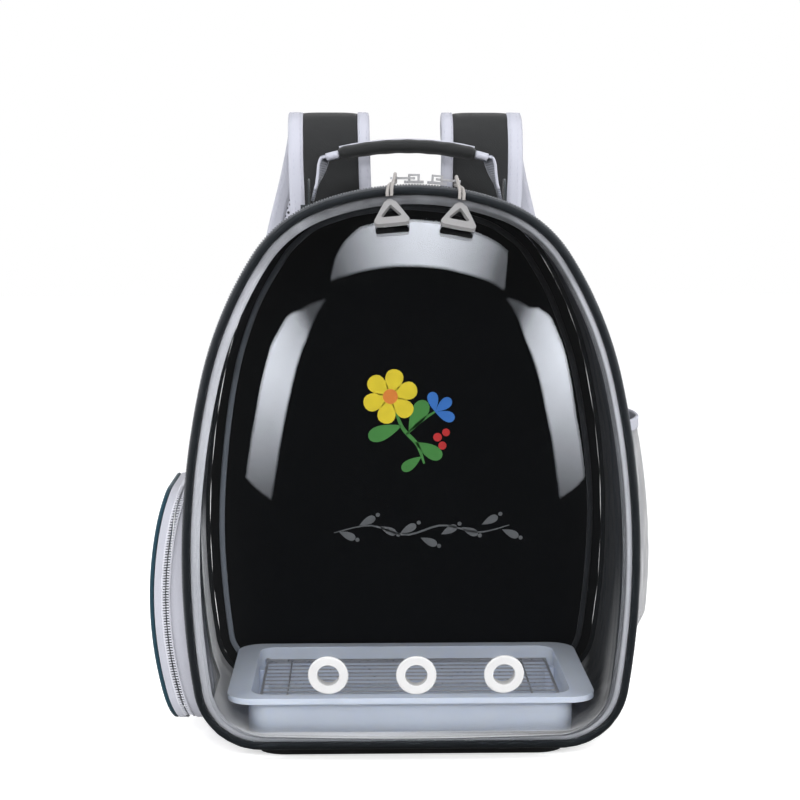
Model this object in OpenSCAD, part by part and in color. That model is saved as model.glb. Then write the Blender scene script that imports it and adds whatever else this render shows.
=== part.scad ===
// Bird travel carrier: a backpack with a clear domed door, a drop tray and a zipped side hatch.
// Millimetres. Front is -Y, up is +Z, the origin is the middle of the base plate's underside.

/* [Body] */
// Width across the front piping
body_w = 336; // [326:1:350]
// Height across the front piping
body_h = 415; // [400:1:430]
// Depth from the front piping to the outside of the back panel
body_depth = 166; // [150:1:185]
// Height of the front piping's underside above the ground
rim_lift = 9; // [7:0.5:14]
// Radius of the outline over the top
top_r = 195; // [170:1:220]
// Radius of the outline's shoulders
shoulder_r = 95; // [80:1:110]
// Radius of the outline's lower corners
corner_r = 50; // [42:1:58]
// Radius of the round piping cord
piping_r = 2.7; // [2:0.1:3.5]
// Thickness of the side wall's board and cloth
wall_t = 2; // [1.5:0.1:3]
// Thickness of the light lining inside the side wall
lining_t = 1; // [0.6:0.1:1.5]
// Thickness of the back panel
back_t = 3; // [2:0.1:5]

/* [Dome door] */
// How far the clear dome stands out in front
dome_depth = 95; // [80:1:105]
// Thickness of the clear sheet
dome_t = 1.2; // [1:0.1:2]
// Width of the sewn rim between the piping and the dome's wall
dome_rim_w = 3; // [2:0.5:6]
// Height of the dome's middle above the ground
dome_mid_z = 200; // [185:1:220]
// Steepness of the dome's top edge, higher is boxier
dome_pow_top = 2.8; // [2.4:0.1:4]
// Steepness of the dome's sides
dome_pow_side = 3.2; // [2.6:0.1:4.5]
// Steepness of the dome's bottom edge
dome_pow_bottom = 8; // [6:0.5:10]
// Distance between the vents
vent_pitch = 60; // [48:1:70]
// Height of the vents above the ground
vent_z = 93; // [85:1:110]
// Outer diameter of a vent ring
vent_od = 27.6; // [24:0.1:32]
// Bore of a vent ring
vent_bore = 15; // [10:0.5:17]
// Length of the rolled cloth hinge under the door
hinge_strip_l = 190; // [150:1:205]

/* [Zip] */
// Width of each light zip tape
tape_w = 5.6; // [4.5:0.1:8]
// Thickness of the zip tapes
tape_t = 1.2; // [0.8:0.1:1.6]
// Width of each half of the zip chain
chain_w = 2.9; // [2.4:0.1:4]
// Height of the zip chain
chain_h = 2.4; // [1.8:0.1:3]
// Length of a slider
slider_l = 14; // [11:0.5:16]
// Width of a slider
slider_w = 10; // [8:0.5:12]

/* [Pulls] */
// Length of the metal tab on a slider
tab_l = 13; // [11:0.5:18]
// Width of a rubber pull
pull_w = 25; // [20:0.5:30]
// Length of a rubber pull
pull_l = 27; // [22:0.5:30]
// Thickness of a rubber pull
pull_t = 3.4; // [2.5:0.1:4]
// Radius of the cord on a pull
cord_r = 1.2; // [0.9:0.1:1.6]

/* [Base and tray] */
// Thickness of the base plate
base_t = 8; // [6:0.5:12]
// Width of the base plate
base_w = 238; // [200:1:250]
// Thickness of the floor pad
pad_t = 2; // [1:0.5:4]
// Width of the tray over its rim
tray_w = 277; // [262:1:284]
// Height of the tray
tray_h = 33; // [26:1:45]
// Width of the tray's rim at the sides
tray_rim = 16; // [12:0.5:20]
// Thickness of the tray's walls
tray_t = 1.8; // [1.4:0.1:2.5]
// Radius of the grid's thin wires
wire_r = 1; // [0.8:0.1:1.4]
// Number of wires across the grid
wire_count = 11; // [8:1:13]

/* [Side hatch and pocket] */
// Height of the side hatch
hatch_h = 179; // [150:1:185]
// Depth of the side hatch, front to back
hatch_w = 116; // [90:1:122]
// How far the hatch stands out at the middle
hatch_out = 28; // [24:1:34]
// How far the hatch's upper edge stands off the wall
hatch_edge_out = 17; // [15:0.5:22]
// How far the mesh pocket stands out
pocket_out = 23; // [16:1:28]
// Height of the mesh pocket
pocket_h = 176; // [150:1:190]
// Depth of the mesh pocket, front to back
pocket_w = 100; // [80:1:116]

/* [Handle] */
// Width between the handle's feet
handle_span = 152; // [140:1:165]
// Height of the handle's top above the ground
handle_top = 463; // [455:1:475]
// Width of the handle's webbing
handle_w = 20; // [16:1:24]
// Thickness of the handle's webbing
handle_t = 2.6; // [2:0.1:3.5]
// Length of the padded grip, measured across
grip_l = 108; // [90:1:116]
// Thickness of the padded grip
grip_t = 11; // [9:0.5:14]

/* [Shoulder straps] */
// Width of a shoulder strap over its bindings
strap_w = 67; // [58:1:72]
// Thickness of a shoulder strap's padding
strap_t = 10; // [7:0.5:14]
// Width of the binding along a strap's edges
binding_w = 10; // [7:0.5:12]
// Distance between the middles of the straps at the top
strap_gap = 116; // [104:1:126]
// Width of the lower webbing
webbing_w = 25; // [20:1:30]
// Thickness of the back pads
back_pad_t = 12; // [8:0.5:16]

/* [Hidden] */
$fn = 64;
seam = 0.05;        // between sewn pieces of one body
gap = 0.4;          // between pieces that move past each other

// Outline: arcs over the top, shoulder, upper side, lower side and corner,
// tangent to each other at these angles from the top.
turn = [0, 20, 57, 77, 99, 180];
half_w = body_w / 2;
top_z = rim_lift + body_h;
reach_x = half_w - top_r * sin(turn[1]) - shoulder_r * (sin(turn[2]) - sin(turn[1]));
reach_z = body_h - top_r * (1 - cos(turn[1])) - shoulder_r * (cos(turn[1]) - cos(turn[2]))
    - corner_r * (1 + cos(turn[4]));
up_x = sin(turn[3]) - sin(turn[2]);
up_z = cos(turn[2]) - cos(turn[3]);
low_x = 1 - sin(turn[3]);
low_z = cos(turn[3]) - cos(turn[4]);
side_det = up_x * low_z - low_x * up_z;
arc_r = [top_r, shoulder_r, (reach_x * low_z - low_x * reach_z) / side_det,
    (up_x * reach_z - up_z * reach_x) / side_det, corner_r];
function dir(a) = [sin(a), cos(a)];
function arc_c(i) = i == 0 ? [0, top_z - top_r] : arc_c(i - 1) + (arc_r[i - 1] - arc_r[i]) * dir(turn[i]);
function flip(p, side) = [side * p[0], p[1]];
flat_half = arc_c(4)[0];

// Depths behind the front piping's plane, front to back.
rim_front = 0.45;
rim_back = rim_front + dome_t;
tape_front = piping_r + seam;
tape_back = tape_front + tape_w;
chain_front = tape_back + seam;
split = chain_front + chain_w + gap / 2;
chain_back = split + gap / 2 + chain_w;
rear_tape_front = chain_back + seam;
wall_front = rear_tape_front + tape_w + seam;
back_in = body_depth - back_t;
rear_cord = body_depth - back_t / 2;
wall_back = rear_cord - piping_r - seam;
hinge_r = 2.2;
hinge_z = rim_lift - 1 + hinge_r;
base_front = split + 4;
y0 = -(base_front + body_depth) / 2;
wall_out = 1;                       // the wall stands this far outside the piping
wall_in = wall_out - wall_t;
lining_in = wall_in - seam - lining_t;
floor_z = rim_lift - lining_in;

function rim_pt(i, a, out) = arc_c(i) + (arc_r[i] + out) * dir(a);
// Points along the outline, out mm outside the piping: top first, down the right and up the left.
rim_steps = [4, 5, 4, 5, 7];
flat_steps = 5;
function half_rim(out, fine) = concat(
    [for (i = [0:4], k = [0:fine * rim_steps[i] - 1])
        rim_pt(i, turn[i] + (turn[i + 1] - turn[i]) * k / (fine * rim_steps[i]), out)],
    [for (k = [0:flat_steps - 1]) [flat_half * (1 - k / flat_steps), rim_lift - out]]);
function full_rim(out, fine = 1) = let (h = half_rim(out, fine), n = len(h))
    concat(h, [[0, rim_lift - out]], [for (i = [n - 1:-1:1]) flip(h[i], -1)]);
ring_fine = 3;
module outline(out) polygon(full_rim(out, ring_fine));

module spread(front, back) translate([0, y0 + back, 0]) rotate([90, 0, 0]) linear_extrude(back - front)
    children();
module slab(out, front, back) spread(front, back) outline(out);
// A band round the outline, between two distances out from it.
module ring(out0, out1, front, back) spread(front, back) difference() {
    outline(out1);
    outline(out0);
}
// The same, open along the bottom, below the hinge's line.
module arch(out0, out1, front, back) spread(front, back) difference() {
    outline(out1);
    outline(out0);
    translate([-body_w, 0]) square([2 * body_w, hinge_z + gap]);
}

function dome_pow(p) = let (d = p - [0, dome_mid_z], s = d[1] / norm(d))
    s > 0 ? dome_pow_side + (dome_pow_top - dome_pow_side) * s * s
          : dome_pow_side + (dome_pow_bottom - dome_pow_side) * pow(-s, 2.5);
function dome_ring(rim, share, front) = [for (p = rim) let (q = [0, dome_mid_z] + (p - [0, dome_mid_z])
    * share)
    [q[0], y0 + front - dome_depth * (1 - pow(share, dome_pow(p))), q[1]]];
function rim_ring(rim, back) = [for (p = rim) [p[0], y0 + back, p[1]]];
dome_shares = [1, 0.985, 0.965, 0.94, 0.905, 0.865, 0.82, 0.765, 0.7, 0.62, 0.52, 0.4, 0.25];
dome_out = -2 * piping_r - seam;
function quad(a, b, e, f) = [[a, b, e], [a, e, f]];
function flat_list(l) = [for (a = l, b = a) b];

module dome_loft() {
    edge = full_rim(dome_out);
    outer = full_rim(dome_out - dome_rim_w);
    inner = full_rim(dome_out - dome_rim_w - dome_t);
    n = len(edge);
    m = len(dome_shares);
    rings = concat([rim_ring(edge, rim_back), rim_ring(edge, rim_front)],
        [for (s = dome_shares) dome_ring(outer, s, rim_front)],
        [for (k = [m - 1:-1:0]) dome_ring(inner, dome_shares[k], rim_back)]);
    pole = [0, y0 + rim_front - dome_depth, dome_mid_z];
    pts = concat(flat_list(rings), [pole, pole + [0, dome_t, 0]]);
    front_last = m + 1;
    polyhedron(pts, concat(
        [for (r = [0:len(rings) - 1], k = [0:n - 1]) if (r != front_last)
            let (a = r * n + k, b = r * n + (k + 1) % n, s = (r + 1) % len(rings))
            each [[a, b, s * n + (k + 1) % n], [a, s * n + (k + 1) % n, s * n + k]]],
        [for (k = [0:n - 1]) [front_last * n + k, front_last * n + (k + 1) % n, len(pts) - 2]],
        [for (k = [0:n - 1]) [(front_last + 1) * n + (k + 1) % n, (front_last + 1) * n + k,
            len(pts) - 1]]));
}

// The dome's front surface at a point, by its share of the way out to the rim along that ray.
function ray_out(i, u, out) = let (w = arc_c(i) - [0, dome_mid_z], t = u * w)
    t + sqrt(max(0, t * t - w * w + pow(arc_r[i] + out, 2)));
function rim_reach(u, out) = u[1] < 0 && abs(u[0]) * (dome_mid_z - rim_lift) < -u[1] * flat_half
    ? (dome_mid_z - rim_lift + out) / -u[1]
    : ray_out(u[1] < 0 ? 4 : 1, [abs(u[0]), u[1]], out);
function dome_y(x, z) = let (d = [x, z - dome_mid_z], l = norm(d), u = d / l,
    out = dome_out - dome_rim_w, reach = rim_reach(u, out))
    y0 + rim_front - dome_depth * (1 - pow(l / reach, dome_pow([0, dome_mid_z] + u * reach)));

module at_vent(x) {
    d = 2;
    aside = atan((dome_y(x + d, vent_z) - dome_y(x - d, vent_z)) / (2 * d));
    slope_z = (dome_y(x, vent_z + d) - dome_y(x, vent_z - d)) / (2 * d);
    translate([x, dome_y(x, vent_z), vent_z]) rotate([-atan(slope_z * cos(aside)), 0, aside])
        rotate([90, 0, 0]) children();
}

vent_neck = vent_bore / 2 + 2;
vent_lip = 2.2;
vent_seat = 0.5;

module dome_shell() color([0.85, 0.9, 0.95, 0.4]) difference() {
    dome_loft();
    for (x = [-vent_pitch, 0, vent_pitch]) at_vent(x) cylinder(r = vent_neck + 0.1, h = 24, center = true);
}

module vent(x) color([0.95, 0.95, 0.93]) at_vent(x) rotate_extrude() {
    translate([vent_bore / 2, vent_seat]) square([vent_od / 2 - vent_bore / 2 - vent_lip / 2, vent_lip]);
    translate([vent_od / 2 - vent_lip / 2, vent_seat + vent_lip / 2]) circle(vent_lip / 2);
    translate([vent_bore / 2, -dome_t - 2 * vent_seat - vent_lip + 0.2])
        square([vent_neck - vent_bore / 2, dome_t + 3 * vent_seat + vent_lip]);
    translate([vent_bore / 2, -dome_t - 2 * vent_seat - vent_lip + 0.2]) square([vent_neck
        + 2 - vent_bore / 2, 1.6]);
}
module vent_left() vent(-vent_pitch);
module vent_middle() vent(0);
module vent_right() vent(vent_pitch);

// Piping: a round cord; the front one is open behind, where the zip's tape is sewn to it.
module cord_ring(section, back) {
    path = [for (q = full_rim(-piping_r)) [q[0], y0 + back, q[1]]];
    carry(path, section, [0, 1, 0], closed = true);
}
module front_piping() color([0.2, 0.23, 0.25])
    cord_ring([for (a = [40, 0, -40, -80, -120, -160, 160, 120]) piping_r * [-sin(a), cos(a)]], 0);

flange_in = dome_out - dome_rim_w - 4;
flange_t = 1;
module door_zip_tape() color([0.75, 0.76, 0.8]) {
    ring(wall_out - tape_t, wall_out, tape_front, tape_back);
    ring(flange_in, wall_out - tape_t / 2, tape_front, tape_front + flange_t);
    ring(flange_in, dome_out, rim_back + seam, tape_front + flange_t);
}
chain_in = wall_out - tape_t;
module door_zip_chain() color([0.6, 0.61, 0.65]) arch(chain_in, chain_in + chain_h, chain_front,
    chain_front + chain_w);
module rear_zip_chain() color([0.6, 0.61, 0.65]) arch(chain_in, chain_in + chain_h, split + gap / 2,
    chain_back);

module rear_zip_tape() color([0.75, 0.76, 0.8]) ring(chain_in, wall_out, rear_tape_front,
    rear_tape_front + tape_w);

module hinge_strip() color([0.2, 0.22, 0.24]) translate([-hinge_strip_l / 2, y0 + split, hinge_z]) {
    rotate([0, 90, 0]) cylinder(r = hinge_r, h = hinge_strip_l);
    translate([0, 0, -hinge_r]) cube([hinge_strip_l, rear_tape_front - split - seam, tape_t]);
}

// The hatch is outlined in y and z and bulges on a cylinder about a line along y.
hatch_z0 = 20;
hatch_mid_up = 6.5;
hatch_mid_z = hatch_z0 + hatch_h / 2 + hatch_mid_up;     // the height of the bulge's axis
hatch_y0 = wall_front + 4;
hatch_face = -half_w - hatch_out;
hatch_rise = hatch_z0 + hatch_h - hatch_mid_z;
hatch_drop = -hatch_face - wall_x(hatch_z0 + hatch_h, wall_out) - hatch_edge_out;
hatch_r = (hatch_rise * hatch_rise + hatch_drop * hatch_drop) / (2 * hatch_drop);
hatch_axis = hatch_face + hatch_r;
hatch_cord_r = 1.6;
hatch_cord_gap = 0.35;              // room for the cord's flats on the bulge
hatch_corner = 26;
hatch_split = hatch_r - 12.4;
hatch_chain_w = 3;
hatch_edge_t = 1.4;

module round_rect(w, h, r) {
    translate([r, 0]) square([w - 2 * r, h]);
    translate([0, r]) square([w, h - 2 * r]);
    for (x = [r, w - r], y = [r, h - r]) translate([x, y]) circle(r);
}
// A shape drawn in (back, up) and carried from x0 to x1.
module along_x(x0, x1) translate([x0, y0, 0]) rotate([90, 0, 90]) linear_extrude(x1 - x0) children();
module hatch_plan(in) translate([hatch_y0 + in, hatch_z0 + in])
    round_rect(hatch_w - 2 * in, hatch_h - 2 * in, hatch_corner - in);
module hatch_drum(r) translate([hatch_axis, y0 + hatch_y0 - 10, hatch_mid_z])
    rotate([-90, 0, 0]) cylinder(r = r, h = hatch_w + 20, $fn = 96);
// Everything further out than the wall, so that the hatch's frame ends on it.
module off_wall() difference() {
    children();
    slab(wall_out + seam, wall_front - 10, body_depth);
}
// A band of the hatch's outline between two radii of its bulge.
module hatch_band(in0, in1, r0, r1) difference() {
    intersection() {
        along_x(hatch_face - 10, -half_w / 2) difference() {
            hatch_plan(in0);
            hatch_plan(in1);
        }
        hatch_drum(r1);
    }
    hatch_drum(r0);
}
// The chains end just above the hinge line.
module hatch_hinge_cut() translate([hatch_face, y0 + hatch_y0 - 2, hatch_z0 - 2])
    cube([-hatch_face, hatch_w + 4, 2 + hatch_edge_t + gap]);

hatch_sunk = 0.5;
module hatch_panel() color([0.13, 0.17, 0.19]) difference() {
    intersection() {
        along_x(hatch_face - 10, -half_w / 2) hatch_plan(2 * hatch_cord_r + hatch_cord_gap);
        hatch_drum(hatch_r - hatch_sunk);
    }
    hatch_drum(hatch_r - hatch_sunk - wall_t);
}
module hatch_door_tape() color([0.75, 0.76, 0.8])
    hatch_band(0, hatch_edge_t, hatch_split + gap / 2 + hatch_chain_w + seam, hatch_r - 2
        * hatch_cord_r - hatch_cord_gap);
module hatch_door_chain() color([0.6, 0.61, 0.65]) difference() {
    hatch_band(-0.8, hatch_edge_t, hatch_split + gap / 2, hatch_split + gap / 2 + hatch_chain_w);
    hatch_hinge_cut();
}
module hatch_frame_chain() color([0.6, 0.61, 0.65]) off_wall() difference() {
    hatch_band(-0.8, hatch_edge_t, hatch_split - gap / 2 - hatch_chain_w, hatch_split - gap / 2);
    hatch_hinge_cut();
}
module hatch_frame_tape() color([0.75, 0.76, 0.8]) off_wall()
    hatch_band(0, hatch_edge_t, 1, hatch_split - gap / 2 - hatch_chain_w - seam);
hatch_hinge_z = hatch_z0 + hatch_edge_t / 2;
hatch_hinge_x = hatch_axis - sqrt(pow(hatch_split, 2) - pow(hatch_hinge_z - hatch_mid_z, 2));
hatch_hinge_r = 1.5;
hatch_hinge_web = hatch_chain_w + gap / 2;
module hatch_hinge() color([0.2, 0.22, 0.24])
    translate([hatch_hinge_x, y0 + hatch_y0 + hatch_corner + 1, hatch_hinge_z]) {
        rotate([-90, 0, 0]) cylinder(r = hatch_hinge_r, h = hatch_w - 2 * hatch_corner - 2);
        translate([0, 0, -hatch_edge_t / 2]) cube([hatch_hinge_web, hatch_w - 2 * hatch_corner - 2,
            hatch_edge_t]);
    }
window_in = 12;
module hatch_window() along_x(-half_w - 10, -half_w / 2) hatch_plan(window_in);

module side_wall() color([0.14, 0.17, 0.19]) difference() {
    ring(wall_in, wall_out, wall_front, wall_back);
    hatch_window();
}
module wall_lining() color([0.72, 0.73, 0.77]) difference() {
    ring(lining_in, lining_in + lining_t, wall_front, wall_back);
    hatch_window();
}
module rear_piping() color([0.2, 0.23, 0.25])
    cord_ring([for (a = [0:45:315]) piping_r * [cos(-a), sin(-a)]], rear_cord);
module back_panel() color([0.05, 0.05, 0.06]) spread(back_in, body_depth) polygon(full_rim(-2
    * piping_r - seam));
binding_in = 12;
module back_binding() color([0.45, 0.5, 0.56])
    ring(-2 * piping_r - binding_in, -2 * piping_r - binding_in + 4.5, back_in - seam - 1, back_in - seam);

base_corner = 24;
base_slope = 6;
module base_plate() color([0.1, 0.1, 0.11]) intersection() {
    translate([-base_w / 2, y0 + base_front, 0]) linear_extrude(base_t)
        round_rect(base_w, body_depth - base_front, base_corner);
    translate([0, body_depth, 0]) rotate([90, 0, 0]) linear_extrude(2 * body_depth)
        polygon([[-base_w / 2 + base_slope, 0], [base_w / 2 - base_slope, 0], [base_w / 2, base_t],
            [-base_w / 2, base_t]]);
}
pad_half = flat_half + 2;
module floor_pad() color([0.68, 0.69, 0.73]) translate([-pad_half, y0 + wall_front, floor_z + 0.1])
    linear_extrude(pad_t) round_rect(2 * pad_half, wall_back - wall_front, 8);

// Tray: a rounded basin with a turned-down rim.
tray_z = floor_z + 0.1 + pad_t + gap;
tray_front = 4;
tray_back = back_in - 3;
tray_d = tray_back - tray_front;
tray_end = 9;
tray_corner = 16;
tray_lip = 4.4;
module tray_plan(in) translate([-tray_w / 2 + tray_rim + in, y0 + tray_front + tray_end + in])
    round_rect(tray_w - 2 * tray_rim - 2 * in, tray_d - 2 * tray_end - 2 * in, tray_corner - in);
module rim_plan(in) translate([-tray_w / 2 + in, y0 + tray_front + in])
    round_rect(tray_w - 2 * in, tray_d - 2 * in, tray_corner + 4 - in);
module tray() color([0.78, 0.84, 0.92]) translate([0, 0, tray_z]) difference() {
    union() {
        linear_extrude(tray_h) tray_plan(0);
        translate([0, 0, tray_h - tray_t]) linear_extrude(tray_t) rim_plan(0);
        translate([0, 0, tray_h - tray_lip]) linear_extrude(tray_lip) difference() {
            rim_plan(0);
            rim_plan(tray_t);
        }
        for (x = [-1, 1], y = [0.2, 0.8]) translate([x * (tray_w / 2 - tray_rim - 4), y0 + tray_front
            + tray_d * y, 0])
            cylinder(r = 5, h = ledge_z);
    }
    translate([0, 0, tray_t]) linear_extrude(ledge_z - tray_t) difference() {
        tray_plan(tray_t);
        for (x = [-1, 1], y = [0.2, 0.8]) translate([x * (tray_w / 2 - tray_rim - 4), y0 + tray_front
            + tray_d * y])
            circle(5);
    }
    translate([0, 0, ledge_z]) linear_extrude(tray_h) tray_plan(tray_t);
}
ledge_z = tray_h - 12;

// Grid: a round frame wire welded at the corners, with thin wires across.
frame_wire_r = 1.6;
weld_r = frame_wire_r + 0.2;
cross_in = 20;
grid_in = tray_t + 6.2;
grid_half_w = tray_w / 2 - tray_rim - grid_in;
grid_half_d = tray_d / 2 - tray_end - grid_in;
grid_z = tray_z + ledge_z + gap + weld_r;
grid_mid_y = y0 + tray_front + tray_d / 2;
module bar_x(y, z, r, half) translate([-half, y, z]) rotate([0, 90, 0]) cylinder(r = r, h = 2 * half);
module bar_y(x, z, r, half) translate([x, -half, z]) rotate([-90, 0, 0]) cylinder(r = r, h = 2 * half);
module tray_grid() color([0.7, 0.7, 0.72]) translate([0, grid_mid_y, grid_z]) {
    for (s = [-1, 1]) {
        bar_x(s * grid_half_d, 0, frame_wire_r, grid_half_w);
        bar_y(s * grid_half_w, 0, frame_wire_r, grid_half_d);
        for (t = [-1, 1]) translate([s * grid_half_w, t * grid_half_d, 0]) sphere(weld_r);
        bar_y(s * (grid_half_w - cross_in), -0.4, 1.2, grid_half_d);
    }
    for (k = [1:wire_count]) bar_x(grid_half_d * (2 * k / (wire_count + 1) - 1), wire_r, wire_r,
        grid_half_w);
}

// A tube or band carried along a list of points; the section is given across and out of it.
function unit(v) = v / norm(v);
function spline(p, i, t) = let (a = p[max(i - 1, 0)], b = p[i], c = p[i + 1], d = p[min(i + 2, len(p) - 1)])
    0.5 * (2 * b + (c - a) * t + (2 * a - 5 * b + 4 * c - d) * t * t + (3 * b - 3 * c + d - a) * t * t * t);
function route(p, n) = [for (k = [0:n]) let (u = k / n * (len(p) - 1), i = min(floor(u), len(p) - 2))
    spline(p, i, u - i)];
module carry(path, section, across, closed = false) {
    n = len(path);
    m = len(section);
    rings = [for (k = [0:n - 1]) let (
        ahead = closed ? path[(k + 1) % n] : path[min(k + 1, n - 1)],
        behind = closed ? path[(k + n - 1) % n] : path[max(k - 1, 0)],
        t = unit(ahead - behind), w = unit(across - (across * t) * t), o = cross(t, w))
        [for (s = section) path[k] + s[0] * w + s[1] * o]];
    last = closed ? n - 1 : n - 2;
    polyhedron(flat_list(rings), concat(
        [for (k = [0:last], j = [0:m - 1]) let (e = (k + 1) % n, i = (j + 1) % m)
            each [[k * m + j, e * m + j, e * m + i], [k * m + j, e * m + i, k * m + i]]],
        closed ? [] : [for (j = [1:m - 2]) [0, j, j + 1]],
        closed ? [] : [for (j = [1:m - 2]) [(n - 1) * m, (n - 1) * m + j + 1, (n - 1) * m + j]]));
}
function ring_section(r, n) = [for (k = [0:n - 1]) r * [cos(360 * k / n), -sin(360 * k / n)]];
function band_section(w, t) = [[-w / 2, t / 2], [w / 2, t / 2], [w / 2, -t / 2], [-w / 2, -t / 2]];

function on_drum(r, y, z) = [hatch_axis - sqrt(r * r - pow(z - hatch_mid_z, 2)), y0 + y, z];
function rect_path(w, h, r, n) = flat_list([for (c = [[w - r, h - r, 0], [r, h - r, 90], [r, r, 180],
    [w - r, r, 270]])
    [for (k = [0:n]) [c[0] + r * cos(c[2] + 90 * k / n), c[1] + r * sin(c[2] + 90 * k / n)]]]);
module hatch_piping() color([0.16, 0.24, 0.27]) {
    in = hatch_cord_r;
    edge = rect_path(hatch_w - 2 * in, hatch_h - 2 * in, hatch_corner - in, 6);
    steps = 5;
    pts = flat_list([for (k = [0:len(edge) - 1]) let (a = edge[k], b = edge[(k + 1) % len(edge)],
        n = norm(b - a) > 30 ? steps : 1) [for (j = [0:n - 1]) a + (b - a) * j / n]]);
    carry([for (p = pts) on_drum(hatch_r - in, hatch_y0 + in + p[0], hatch_z0 + in + p[1])],
        ring_section(in, 8), [1, 0, 0], closed = true);
}

// Sliders ride over the top of the chain; each carries a metal tab, and a corded rubber pull.
slider_at = [0.4, 5.2];             // degrees from the top
slider_base = wall_out - tape_t + chain_h + gap;
slider_t = 2;
bridge_h = 5.4;
tab_t = 1.6;
tab_eye = 2.6;
function slider_side(k) = k == 0 ? -1 : 1;
function slider_pt(k) = arc_c(0) + (top_r + slider_base) * dir(slider_at[k]);
module at_slider(k) translate([slider_pt(k)[0], y0 + split, slider_pt(k)[1]])
    rotate([0, slider_at[k], 0]) children();
module slider(k) color([0.6, 0.6, 0.62]) at_slider(k) {
    difference() {
        union() {
            translate([-slider_l / 2 + 3, -slider_w / 2, 0]) cube([slider_l - 3, slider_w, slider_t]);
            translate([-slider_l / 2 + 3, 0, 0]) cylinder(r = 3, h = slider_t);
        }
        translate([slider_l / 2, 0, -1]) cylinder(r = 2.4, h = slider_t + 2);
    }
    for (x = [-1, 1]) translate([x * 3.4 - 0.8, -1.6, slider_t]) cube([1.6, 3.2, bridge_h - slider_t]);
    translate([-4.2, -1.6, bridge_h]) cube([8.4, 3.2, 1.4]);
}
module slider_left() slider(0);
module slider_right() slider(1);

// The tab's end bar turns under the slider's bridge, its arms pass on both sides.
tab_z = (slider_t + bridge_h) / 2;
tab_bar_r = 0.9;
tab_arm = 2.7;
tab_plate = 6.4;
module at_tab(k) at_slider(k) rotate([0, 0, slider_side(k) > 0 ? 0 : 180]) translate([0, 0, tab_z])
    children();
module tab(k) color([0.62, 0.62, 0.64]) at_tab(k) {
    rotate([90, 0, 0]) cylinder(r = tab_bar_r, h = 2 * tab_arm, center = true);
    for (y = [-1, 1]) translate([-tab_bar_r, y * tab_arm - tab_t / 2, -tab_t / 2]) cube([tab_plate + 1,
        tab_t, tab_t]);
    translate([0, 0, -tab_t / 2]) difference() {
        union() {
            translate([tab_plate, -tab_arm - tab_t / 2, 0]) cube([tab_l - tab_plate, 2 * tab_arm
                + tab_t, tab_t]);
            translate([tab_l, 0, 0]) cylinder(r = tab_eye + 1.4, h = tab_t);
        }
        translate([tab_l, 0, -1]) cylinder(r = tab_eye, h = tab_t + 2);
    }
}
module tab_left() tab(0);
module tab_right() tab(1);

// The cord's two strands leave the pull, cross the piping and meet through the tab's eye.
pull_at = tab_l + 5.5;
function along_top(k, at, back, out) = let (
    p = arc_c(0) + (top_r + out) * dir(slider_at[k] + slider_side(k) * at / top_r * 180 / PI)) [p[0], y0
        + back, p[1]];
tab_out = slider_base + tab_z + 0.4;
pull_out = -7.4;
pull_back = -4.6;
strand_in = [[pull_at - 1.5, pull_back - 0.3, pull_out + 1.6], [pull_at - 2.3, -4.1, 0],
    [pull_at - 3.5, -1.2, 3.7],
    [pull_at - 4.7, 3.5, 7.2], [tab_l, 8, tab_out + 2.9], [tab_l, split - 0.4, tab_out + 2.8],
    [tab_l, split + 0.8, tab_out]];
strand_out = [[tab_l, split - 0.4, tab_out - 2.7], [tab_l + 0.9, 7.5, tab_out - 3.1], [tab_l + 2.9, 3, 3.1],
    [pull_at - 0.6, -1.5, 2], [pull_at + 0.9, -4.5, -1.4],
    [pull_at + 1.5, pull_back - 0.3, pull_out + 1.6]];
module pull_cord(k) color([0.7, 0.69, 0.67])
    carry(route([for (q = concat(strand_in, strand_out)) along_top(k, q[0], q[1], q[2])], 44),
        ring_section(cord_r, 6), [1, 0.2, 0.1]);
module cord_left() pull_cord(0);
module cord_right() pull_cord(1);

pull_tilt = 47;
pull_round = 3;
pull_frame = 5;
pull_seat = 2.6;        // the tip's front is cut back this far, to swing up clear of the cord
pull_tongue = 1.3;      // and this much of its thickness stays
module pull_shape(in) hull() {
    for (x = [-1, 1]) translate([x * (pull_w / 2 - pull_round - in * 0.8), pull_round - pull_l + in])
        circle(pull_round - in * 0.3, $fn = 32);
    translate([0, -pull_round - in * 1.3]) circle(pull_round - in * 0.4, $fn = 32);
}
module pull(k) color([0.72, 0.71, 0.69])
    translate(along_top(k, pull_at, pull_back, pull_out))
    rotate([0, slider_at[k] + slider_side(k) * pull_at / top_r * 180 / PI, 0])
    rotate([90 - pull_tilt, 0, 0]) difference() {
        linear_extrude(pull_t, center = true) difference() {
            pull_shape(0);
            pull_shape(pull_frame);
        }
        let (rise = pull_t - pull_tongue + seam) rotate([90, 0, 90])
            linear_extrude(pull_w, center = true) translate([0, pull_tongue - pull_t / 2])
                polygon([[1, 0], [-pull_seat, 0], [-pull_seat - rise, rise], [1, rise]]);
    }
module pull_left() pull(0);
module pull_right() pull(1);

// Hatch slider: on the back run of the hatch's chain.
hatch_slider_z = 28;
module hatch_slider() color([0.6, 0.6, 0.62])
    translate([hatch_axis, y0 + hatch_y0 + hatch_w + 0.8 + gap, hatch_mid_z])
    rotate([0, asin(hatch_slider_z / hatch_split), 0]) translate([-hatch_split, 0, 0]) rotate([-90, 0, 0]) {
        translate([-slider_w / 2, -slider_l / 2, 0]) cube([slider_w, slider_l - 3, slider_t]);
        translate([0, slider_l / 2 - 3, 0]) cylinder(r = 3, h = slider_t);
        for (y = [-1, 1]) translate([-1.6, y * 3.2 - 1.5, slider_t]) cube([3.2, 1.6, bridge_h - slider_t]);
        translate([-1.6, -4.7, bridge_h]) cube([3.2, 8, 1.4]);
    }

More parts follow.
